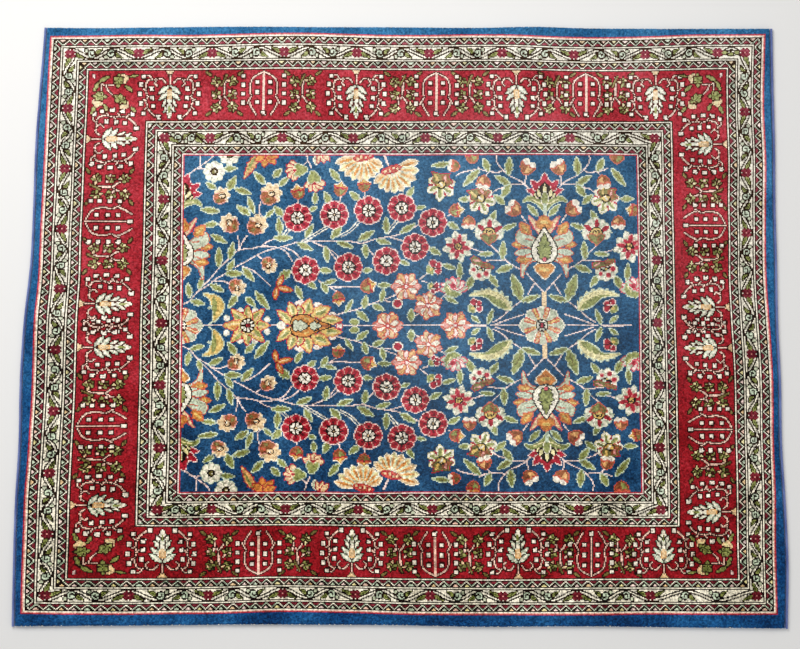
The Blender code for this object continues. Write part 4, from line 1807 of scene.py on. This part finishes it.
def build_foundation(points, dye, material):
    """The woven back: closed and thin, its underside showing each knot's wool between the cotton warps."""
    rows = np.unique(np.append(np.arange(0, ROWS + 1, BACK_STEP), ROWS))
    columns = np.unique(np.append(np.arange(0, COLUMNS + 1, BACK_STEP), COLUMNS))
    grid = points[np.ix_(rows, columns)].copy()
    middle = 0.5 * (grid.reshape(-1, 3).min(axis=0) + grid.reshape(-1, 3).max(axis=0))
    grid[:, :, 0] = middle[0] + (grid[:, :, 0] - middle[0]) * BACK_SPREAD_X
    grid[:, :, 1] = middle[1] + (grid[:, :, 1] - middle[1]) * BACK_SPREAD_Y
    grid[:, :, 2] = 0.0
    height, width = grid.shape[:2]
    index = np.arange(height * width).reshape(height, width)
    under = np.stack([index[:-1, :-1], index[1:, :-1], index[1:, 1:], index[:-1, 1:]], axis=-1).reshape(-1, 4)
    edge = perimeter(index)
    upper_ring = grid.reshape(-1, 3)[edge].copy()
    upper_ring[:, 2] = FOUNDATION_TOP * MM
    cover = height * width + np.arange(len(edge))
    sides = np.stack([edge, np.roll(edge, -1), np.roll(cover, -1), cover], axis=1)
    vertices = np.concatenate([grid.reshape(-1, 3), upper_ring])
    faces = [*under.tolist(), *sides.tolist(), cover.tolist()]
    obj = new_object("rug_foundation", vertices.tolist(), faces, material)
    middles = np.ix_(np.minimum(rows[:-1] + 1, ROWS - 1), np.minimum(columns[:-1] + 1, COLUMNS - 1))
    values = np.full(len(faces), DYE["edge_blue"], float)
    values[: len(under)] = dye[middles].ravel()
    set_face_values(obj, "dye", values)
    return obj


# ---------------------------------------------------------------- what repeats along an edge


def add(tree, kind, inputs=None, **settings):
    """Add a node with its settings; an input is given a value or another node's socket."""
    node = tree.nodes.new(kind)
    for name, value in settings.items():
        setattr(node, name, value)
    for socket, value in (inputs or {}).items():
        if isinstance(value, bpy.types.NodeSocket):
            tree.links.new(value, node.inputs[socket])
        else:
            node.inputs[socket].default_value = value
    return node


def start_tree(name, sizes):
    """A geometry tree with a path to follow and its named sizes; returns it and the sizes' sockets."""
    tree = bpy.data.node_groups.new(name, "GeometryNodeTree")
    tree.interface.new_socket("Path", in_out="INPUT", socket_type="NodeSocketGeometry")
    for label, kind in sizes:
        tree.interface.new_socket(label, in_out="INPUT", socket_type="NodeSocket" + kind)
    tree.interface.new_socket("Result", in_out="OUTPUT", socket_type="NodeSocketGeometry")
    return tree, add(tree, "NodeGroupInput").outputs


def end_tree(tree, geometry, material):
    whole = add(tree, "GeometryNodeRealizeInstances", {0: geometry})
    smooth = add(tree, "GeometryNodeSetShadeSmooth", {0: whole.outputs[0]})
    dressed = add(tree, "GeometryNodeSetMaterial", {"Geometry": smooth.outputs[0], "Material": material})
    add(tree, "NodeGroupOutput", {0: dressed.outputs[0]})


def wrapped_cord_tree(material):
    """Turns of yarn laid close together round a core, each leaning a little and no two alike."""
    sizes = [("Turn spacing", "Float"), ("Yarn radius", "Float"), ("Turn reach", "Vector"),
             ("Core radius", "Float"), ("Seed", "Int")]
    tree, given = start_tree("wrapped_cord", sizes)
    path = add(tree, "GeometryNodeMeshToCurve", {0: given["Path"]}).outputs[0]
    stops = add(tree, "GeometryNodeResampleCurve", {"Curve": path, "Length": given["Turn spacing"]},
                mode="LENGTH")
    tangent = add(tree, "GeometryNodeInputTangent")
    along = add(tree, "FunctionNodeAlignRotationToVector", {"Vector": tangent.outputs[0]}, axis="Z")
    lean = add(tree, "FunctionNodeRandomValue",
               {0: (0.10, -0.04, -0.06), 1: (0.20, 0.04, 0.06), "Seed": given["Seed"]},
               data_type="FLOAT_VECTOR")
    turned = add(tree, "FunctionNodeRotateRotation", {0: along.outputs[0], 1: lean.outputs[0]},
                 rotation_space="LOCAL")
    circle = add(tree, "GeometryNodeCurvePrimitiveCircle", {"Resolution": 12, "Radius": 1.0})
    loop = add(tree, "GeometryNodeTransform", {"Geometry": circle.outputs[0], "Scale": given["Turn reach"]})
    yarn = add(tree, "GeometryNodeCurvePrimitiveCircle", {"Resolution": 4, "Radius": given["Yarn radius"]})
    turn = add(tree, "GeometryNodeCurveToMesh", {"Curve": loop.outputs[0], "Profile Curve": yarn.outputs[0]})
    spread = add(tree, "FunctionNodeRandomValue", {2: 0.93, 3: 1.0, "Seed": given["Seed"]}, data_type="FLOAT")
    turns = add(tree, "GeometryNodeInstanceOnPoints",
                {"Points": stops.outputs[0], "Instance": turn.outputs[0], "Rotation": turned.outputs[0],
                 "Scale": spread.outputs[1]})
    thick = add(tree, "GeometryNodeCurvePrimitiveCircle", {"Resolution": 8, "Radius": given["Core radius"]})
    core = add(tree, "GeometryNodeCurveToMesh",
               {"Curve": path, "Profile Curve": thick.outputs[0], "Fill Caps": True})
    joined = add(tree, "GeometryNodeJoinGeometry", {0: turns.outputs[0]})
    tree.links.new(core.outputs[0], joined.inputs[0])
    end_tree(tree, joined.outputs[0], material)
    return tree


def end_stitch_tree(material):
    """Short stitches of undyed cotton, unevenly spaced along an end."""
    sizes = [("Spacing", "Float"), ("Stitch size", "Vector"), ("Stray", "Vector"), ("Share kept", "Float"),
             ("Seed", "Int")]
    tree, given = start_tree("end_stitches", sizes)
    path = add(tree, "GeometryNodeMeshToCurve", {0: given["Path"]}).outputs[0]
    stops = add(tree, "GeometryNodeResampleCurve", {"Curve": path, "Length": given["Spacing"]},
                mode="LENGTH")
    back = add(tree, "ShaderNodeVectorMath", {0: given["Stray"], 1: (-1.0, -1.0, -1.0)}, operation="MULTIPLY")
    stray = add(tree, "FunctionNodeRandomValue",
                {0: back.outputs[0], 1: given["Stray"], "Seed": given["Seed"]}, data_type="FLOAT_VECTOR")
    spots = add(tree, "GeometryNodeSetPosition", {"Geometry": stops.outputs[0], "Offset": stray.outputs[0]})
    kept = add(tree, "FunctionNodeRandomValue", {"Probability": given["Share kept"], "Seed": given["Seed"]},
               data_type="BOOLEAN")
    bead = add(tree, "GeometryNodeMeshIcoSphere", {"Radius": 1.0, "Subdivisions": 2})
    stitch = add(tree, "GeometryNodeTransform", {"Geometry": bead.outputs[0], "Scale": given["Stitch size"]})
    sized = add(tree, "FunctionNodeRandomValue", {2: 0.6, 3: 1.15, "Seed": given["Seed"]}, data_type="FLOAT")
    stitches = add(tree, "GeometryNodeInstanceOnPoints",
                   {"Points": spots.outputs[0], "Selection": kept.outputs[3], "Instance": stitch.outputs[0],
                    "Scale": sized.outputs[1]})
    end_tree(tree, stitches.outputs[0], material)
    return tree


def grown(name, points, tree, values):
    """Run a geometry tree along a line of points and keep its result as a plain mesh."""
    mesh = bpy.data.meshes.new(name + "_path")
    edges = [(index, index + 1) for index in range(len(points) - 1)]
    mesh.from_pydata([tuple(p) for p in points], edges, [])
    guide = put(name + "_path", mesh)
    modifier = guide.modifiers.new("grow", "NODES")
    modifier.node_group = tree
    for socket in tree.interface.items_tree:
        if socket.in_out == "INPUT" and socket.name in values:
            modifier[socket.identifier] = values[socket.name]
    bpy.context.view_layer.update()
    graph = bpy.context.evaluated_depsgraph_get()
    result = bpy.data.meshes.new_from_object(guide.evaluated_get(graph))
    guide.modifiers.remove(modifier)
    bpy.data.objects.remove(guide)
    return put(name, result)


# Overcast side cord: half width, half height, how far its middle stands off the woven body, its core, its
# yarn, and how far its path stops short of each end.
CORD_HALF_WIDTH = 3.0
CORD_HALF_HEIGHT = 3.75
CORD_OFF_BODY = 3.4
CORE_RADIUS = 2.2
YARN_RADIUS = 1.15
TURN_SPACING = 2.2
CORD_END = 1.2
CORD_POINTS = 60


def build_overcast(name, side, sign, node, material):
    """The wool overcasting round one side's bundled warps."""
    low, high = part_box(node)
    rows = np.linspace(low.y / MM + CORD_END, high.y / MM - CORD_END, CORD_POINTS)
    inner = rows.clip(side[0, 1], side[-1, 1])
    points = [((side_face(side, y) + sign * CORD_OFF_BODY) * MM, row * MM, CORD_HALF_HEIGHT * MM)
              for y, row in zip(inner, rows)]
    values = {
        "Turn spacing": TURN_SPACING * MM,
        "Yarn radius": YARN_RADIUS * MM,
        "Turn reach": ((CORD_HALF_WIDTH - YARN_RADIUS) * MM, (CORD_HALF_HEIGHT - YARN_RADIUS) * MM, 1.0),
        "Core radius": CORE_RADIUS * MM,
        "Seed": RANDOM_SEED + sign,
    }
    return grown(name, points, wrapped_cord_tree(material), values)


# End stitches: how far from the corners they start, how far they stand out of the end and below the rug's
# top, how many points their path has, their spacing, and the share of them that shows.
STITCH_MARGIN = 12
STITCH_OUT = 1.3
STITCH_DEPTH = 2.0
STITCH_POINTS = 90
STITCH_SPACING = 9.0
STITCH_SHARE = 0.62


def build_end_stitches(name, end, sign, material):
    """The few short stitches that hold one turned-under end."""
    x = np.linspace(end[0, 0] + STITCH_MARGIN, end[-1, 0] - STITCH_MARGIN, STITCH_POINTS)
    height = (RUG_TOP - STITCH_DEPTH) * MM
    points = [(spot * MM, (end_face(end, spot) - sign * STITCH_OUT) * MM, height) for spot in x]
    values = {
        "Spacing": STITCH_SPACING * MM,
        "Stitch size": (1.5 * MM, 0.75 * MM, 0.65 * MM),
        "Stray": (3.5 * MM, 0.7 * MM, 0.5 * MM),
        "Share kept": STITCH_SHARE,
        "Seed": RANDOM_SEED + 20 + sign,
    }
    return grown(name, points, end_stitch_tree(material), values)


# ---------------------------------------------------------------- materials


def linear(code):
    """An sRGB hex colour in linear light, as an opaque colour."""
    channels = [int(code[i : i + 2], 16) / 255 for i in (1, 3, 5)]
    return [c / 12.92 if c <= 0.04045 else ((c + 0.055) / 1.055) ** 2.4 for c in channels] + [1.0]


def new_material(name):
    material = bpy.data.materials.new(name)
    material.use_nodes = True
    material.node_tree.nodes.clear()
    return material, material.node_tree


# Wool and cotton fibre: index of refraction, how little of its gloss a rough thread keeps, and its bloom.
FIBRE_IOR = 1.54
THREAD_GLOSS = 0.10
BLOOM_ROUGHNESS = 0.5
BLOOM = "#e8e4dc"


def finish_thread(tree, colour, relief, strength, depth, roughness, bloom):
    """Thread scatters light off many fine fibres: hardly any gloss, and a soft light bloom at low angles."""
    bump = add(tree, "ShaderNodeBump", {"Strength": strength, "Distance": depth * MM, "Height": relief})
    shader = add(tree, "ShaderNodeBsdfPrincipled", {
        "Base Color": colour,
        "Normal": bump.outputs[0],
        "Roughness": roughness,
        "IOR": FIBRE_IOR,
        "Specular IOR Level": THREAD_GLOSS,
        "Sheen Weight": bloom,
        "Sheen Roughness": BLOOM_ROUGHNESS,
        "Sheen Tint": linear(BLOOM),
    })
    add(tree, "ShaderNodeOutputMaterial", {"Surface": shader.outputs[0]})


def dyed_colour(tree):
    """The wool of each knot: its number on the chart picks one stop of a stepped ramp."""
    number = add(tree, "ShaderNodeAttribute", attribute_name="dye")
    middle = add(tree, "ShaderNodeMath", {0: number.outputs["Fac"], 1: 0.5}, operation="ADD")
    share = add(tree, "ShaderNodeMath", {0: middle.outputs[0], 1: float(len(WOOLS))}, operation="DIVIDE")
    ramp = add(tree, "ShaderNodeValToRGB", {"Fac": share.outputs[0]})
    ramp.color_ramp.interpolation = "CONSTANT"
    stops = ramp.color_ramp.elements
    codes = list(WOOLS.values())
    stops[0].color = linear(codes[0])
    stops[1].position = 1.0 / len(codes)
    stops[1].color = linear(codes[1])
    for place, code in enumerate(codes[2:], start=2):
        stops.new(place / len(codes)).color = linear(code)
    return ramp.outputs["Color"]


def varied(tree, colour, value, low, high, swing):
    """A colour made darker and lighter by a swing each way, as an uneven value runs from low to high."""
    factor = add(tree, "ShaderNodeMapRange", {"Value": value, "From Min": low, "From Max": high,
                                              "To Min": 1.0 - swing, "To Max": 1.0 + swing}).outputs[0]
    grey = add(tree, "ShaderNodeCombineColor", {0: factor, 1: factor, 2: factor})
    return add(tree, "ShaderNodeMix", {"Factor": 1.0, 6: colour, 7: grey.outputs[0]},
               data_type="RGBA", blend_type="MULTIPLY").outputs[2]


def turned_to(tree, first, second, value, low, high, share):
    """One colour turned towards another, by a share at low and a share at high of an uneven value."""
    amount = add(tree, "ShaderNodeMapRange", {"Value": value, "From Min": low, "From Max": high,
                                              "To Min": share[0], "To Max": share[1]})
    return add(tree, "ShaderNodeMix", {"Factor": amount.outputs[0], 6: first, 7: second},
               data_type="RGBA").outputs[2]


# Painted light: a wool's linear colour is raised to a power, below 1 paler than its dye and above 1 deeper,
# painting the upper end as more lit and the lower end as more shaded. It runs between two places across the
# rug, in metres.
PAINTED_LIGHT_POWER_LOWER = 1.05
PAINTED_LIGHT_POWER_UPPER = 0.71
PAINTED_LIGHT_START_Y = -0.60
PAINTED_LIGHT_END_Y = 0.45
POWER_UNEVEN = (1.30, 0.70)
# A painted sheen, a pale grey veil of glare off the pile: its middle, where it starts to thin out, where it
# ends, and its share over the dye.
PAINTED_SHEEN_MIDDLE = (0.17, 0.06, 0.0)
PAINTED_SHEEN_FULL = 0.13
PAINTED_SHEEN_REACH = 0.44
PAINTED_SHEEN_SHARE = 0.09

# Sizes of what shows on the threads, in metres.
NAP_PATCH = 0.09
NAP_CLUMP = 0.004
TUFT = 0.0023
FIBRE_GRAIN = 0.0008
WARP_PAIR = 0.0047
ROW_PAIR = 0.0043
YARN_LENGTH = 0.06
YARN_FLUFF = 0.0011
SOIL_PATCH = 0.012
COTTON_TWIST = 0.0006
# A wave texture at scale 1 repeats in this many metres.
WAVE_REPEAT = 0.314


def knotted_wool(name):
    """Hand-knotted sheep's wool, clipped to a 7 mm pile.

    To the eye: flat, deep colour with a slight sparkle from knot to knot, and soft patches where the nap leans.
    Painted light: colours paler towards the upper end and deeper at the lower, and a painted pale sheen right
    of the middle.
    """
    material, tree = new_material(name)
    place = add(tree, "ShaderNodeTexCoord").outputs["Object"]
    colour = dyed_colour(tree)

    # Each knot is a little lighter or darker than its neighbours.
    shade = add(tree, "ShaderNodeAttribute", attribute_name="shade").outputs["Fac"]
    colour = varied(tree, colour, shade, 0.0, 1.0, 0.45)

    # Nap: patches 90 mm across, and tufts that lean together in clumps 4 mm across.
    patch = add(tree, "ShaderNodeTexNoise", {"Vector": place, "Scale": 1.0 / NAP_PATCH, "Detail": 3.0})
    clump = add(tree, "ShaderNodeTexNoise", {"Vector": place, "Scale": 1.0 / NAP_CLUMP, "Detail": 2.0})
    colour = varied(tree, colour, patch.outputs["Fac"], 0.3, 0.7, 0.18)
    colour = varied(tree, colour, clump.outputs["Fac"], 0.3, 0.7, 0.15)

    # Painted light: deep dyes go lighter towards the upper end and a little deeper at the lower, patch by
    # patch, and undyed wool hardly changes.
    height = add(tree, "ShaderNodeSeparateXYZ", {0: place}).outputs["Y"]
    kept = add(tree, "ShaderNodeMapRange",
               {"Value": height, "From Min": PAINTED_LIGHT_START_Y, "From Max": PAINTED_LIGHT_END_Y, "To Min": PAINTED_LIGHT_POWER_LOWER,
                "To Max": PAINTED_LIGHT_POWER_UPPER}, interpolation_type="SMOOTHSTEP")
    both = add(tree, "ShaderNodeMath", {0: patch.outputs["Fac"], 1: clump.outputs["Fac"]}, operation="ADD")
    uneven = add(tree, "ShaderNodeMapRange", {"Value": both.outputs[0], "From Min": 0.6, "From Max": 1.4,
                                              "To Min": POWER_UNEVEN[0], "To Max": POWER_UNEVEN[1]})
    power = add(tree, "ShaderNodeMath", {0: kept.outputs[0], 1: uneven.outputs[0]}, operation="MULTIPLY")
    colour = add(tree, "ShaderNodeGamma", {"Color": colour, "Gamma": power.outputs[0]}).outputs[0]

    # Painted sheen: a pale grey veil of glare off the pile, strongest right of the rug's middle.
    sheen_distance = add(tree, "ShaderNodeVectorMath", {0: place, 1: PAINTED_SHEEN_MIDDLE}, operation="DISTANCE").outputs["Value"]
    colour = turned_to(tree, colour, linear("#a8bcc0"), sheen_distance, PAINTED_SHEEN_FULL, PAINTED_SHEEN_REACH, (PAINTED_SHEEN_SHARE, 0.0))

    # Tufts: one dome a knot, with the fibres' own grain over it.
    domes = add(tree, "ShaderNodeTexVoronoi", {"Vector": place, "Scale": 1.0 / TUFT, "Randomness": 0.7})
    grain = add(tree, "ShaderNodeTexNoise", {"Vector": place, "Scale": 1.0 / FIBRE_GRAIN, "Detail": 2.0})
    relief = add(tree, "ShaderNodeMath", {0: grain.outputs["Fac"], 1: domes.outputs["Distance"]},
                 operation="SUBTRACT")
    finish_thread(tree, colour, relief.outputs[0], 0.6, 0.8, 0.92, 0.03)
    return material


def woven_back(name):
    """The back of the weave: flattened knots between cotton warps, harder and duller than the pile.

    To the eye: the same figures in greyer colours, ruled with fine cream ribs.
    """
    material, tree = new_material(name)
    place = add(tree, "ShaderNodeTexCoord").outputs["Object"]
    colour = add(tree, "ShaderNodeMix", {"Factor": 0.22, 6: dyed_colour(tree), 7: linear("#b8ab96")},
                 data_type="RGBA").outputs[2]
    # Warps stand 2.35 mm apart; every second one is drawn, so that they show.
    ribs = add(tree, "ShaderNodeTexWave", {"Vector": place, "Scale": WAVE_REPEAT / WARP_PAIR},
               bands_direction="X")
    rows = add(tree, "ShaderNodeTexWave", {"Vector": place, "Scale": WAVE_REPEAT / ROW_PAIR},
               bands_direction="Y")
    colour = turned_to(tree, colour, linear("#e6dcc6"), ribs.outputs["Fac"], 0.80, 1.0, (0.0, 0.55))
    relief = add(tree, "ShaderNodeMath", {0: ribs.outputs["Fac"], 1: rows.outputs["Fac"]}, operation="ADD")
    finish_thread(tree, colour, relief.outputs[0], 0.5, 0.4, 0.9, 0.05)
    return material


def wrapped_yarn(name):
    """Two-ply wool yarn, wound on tight by hand.

    To the eye: a greyed lavender blue, each turn catching light on its crown, with darker gaps between turns.
    """
    material, tree = new_material(name)
    place = add(tree, "ShaderNodeTexCoord").outputs["Object"]
    # One length of yarn runs for about 60 mm before the next, dyed a little differently.
    batch = add(tree, "ShaderNodeTexNoise", {"Vector": place, "Scale": 1.0 / YARN_LENGTH, "Detail": 2.0})
    fluff = add(tree, "ShaderNodeTexNoise", {"Vector": place, "Scale": 1.0 / YARN_FLUFF, "Detail": 3.0})
    colour = turned_to(tree, linear("#5f70ac"), linear("#8494c8"), batch.outputs["Fac"], 0.35, 0.65,
                       (0.0, 1.0))
    colour = varied(tree, colour, fluff.outputs["Fac"], 0.3, 0.7, 0.2)
    finish_thread(tree, colour, fluff.outputs["Fac"], 0.4, 0.3, 0.88, 0.3)
    return material


def undyed_cotton(name):
    """Undyed cotton thread, spun hard: cream, matte, a little soiled."""
    material, tree = new_material(name)
    place = add(tree, "ShaderNodeTexCoord").outputs["Object"]
    soil = add(tree, "ShaderNodeTexNoise", {"Vector": place, "Scale": 1.0 / SOIL_PATCH, "Detail": 2.0})
    twist = add(tree, "ShaderNodeTexNoise", {"Vector": place, "Scale": 1.0 / COTTON_TWIST, "Detail": 1.0})
    colour = turned_to(tree, linear("#f0eadc"), linear("#c9c2b4"), soil.outputs["Fac"], 0.35, 0.7, (0.0, 1.0))
    finish_thread(tree, colour, twist.outputs["Fac"], 0.3, 0.2, 0.85, 0.05)
    return material


def matte_floor(name):
    """Plain painted board: pale, even, with no gloss."""
    material, tree = new_material(name)
    shader = add(tree, "ShaderNodeBsdfPrincipled", {"Base Color": linear("#e9e7e3"), "Roughness": 0.85})
    add(tree, "ShaderNodeOutputMaterial", {"Surface": shader.outputs[0]})
    return material


# ---------------------------------------------------------------- floor, light and camera

# The floor lies a hair under the rug, so that the two never touch.
FLOOR_WIDTH = 24.0
FLOOR_TOP = -0.8 * MM
CAMERA_DISTANCE = 2.6
CAMERA_TILT = 4.5
CAMERA_LENS = 58.5
AIM = Vector((-0.0015, -0.0044, 0.0))

SKY = "#f2f4f8"
SKY_STRENGTH = 0.50
Light = namedtuple("Light", "name spot aim size power")
LIGHTS = [
    Light("key", (-0.9, 1.3, 2.2), (0, 0.2, 0), 1.8, 50.0),
    Light("fill", (1.4, -1.2, 2.2), (0, 0, 0), 2.4, 10.0),
]


def build_floor():
    half = FLOOR_WIDTH / 2
    corners = [(x * half, y * half, FLOOR_TOP) for x, y in ((-1, -1), (1, -1), (1, 1), (-1, 1))]
    floor = new_object("floor", corners, [(0, 1, 2, 3)], matte_floor("matte_painted_floor"))


def light_the_scene():
    world = bpy.data.worlds.new("studio")
    world.use_nodes = True
    background = world.node_tree.nodes["Background"]
    background.inputs["Color"].default_value = linear(SKY)
    background.inputs["Strength"].default_value = SKY_STRENGTH
    bpy.context.scene.world = world
    for row in LIGHTS:
        lamp = bpy.data.lights.new(row.name, "AREA")
        lamp.shape = "DISK"
        lamp.size = row.size
        lamp.energy = row.power
        obj = put(row.name, lamp)
        obj.location = row.spot
        obj.rotation_euler = (Vector(row.aim) - Vector(row.spot)).to_track_quat("-Z", "Y").to_euler()


def place_camera():
    """Straight down but for a slight tilt, from a little nearer the lower end."""
    data = bpy.data.cameras.new("camera")
    data.sensor_width = 36.0
    data.lens = CAMERA_LENS
    camera = put("camera", data)
    tilt = math.radians(CAMERA_TILT)
    camera.location = AIM + CAMERA_DISTANCE * Vector((0.0, -math.sin(tilt), math.cos(tilt)))
    camera.rotation_euler = (tilt, 0.0, 0.0)
    bpy.context.scene.camera = camera
    bpy.context.scene.view_settings.view_transform = "Standard"


# ---------------------------------------------------------------- the rug


def build_rug():
    generator = np.random.default_rng(RANDOM_SEED)
    pile = knotted_wool("knotted_wool_pile")
    yarn = wrapped_yarn("wrapped_wool_yarn")
    cotton = undyed_cotton("undyed_cotton_thread")
    pieces, points, dye = build_pile(generator, pile)
    pieces.append(build_rim(points, pile))
    foundation = build_foundation(points, dye, woven_back("woven_wool_back"))
    overcast = [
        build_overcast("overcast_yarn_left", LEFT_SIDE, -1, "overcast_left", yarn),
        build_overcast("overcast_yarn_right", RIGHT_SIDE, 1, "overcast_right", yarn),
    ]
    stitches = [
        build_end_stitches("end_stitches_lower", LOWER_END, -1, cotton),
        build_end_stitches("end_stitches_upper", UPPER_END, 1, cotton),
    ]
    for piece in [*pieces, foundation, *overcast, *stitches]:
        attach(piece, "root")
    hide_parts("rug_body")
    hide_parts("overcast_left")
    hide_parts("overcast_right")


build_rug()
build_floor()
light_the_scene()
place_camera()
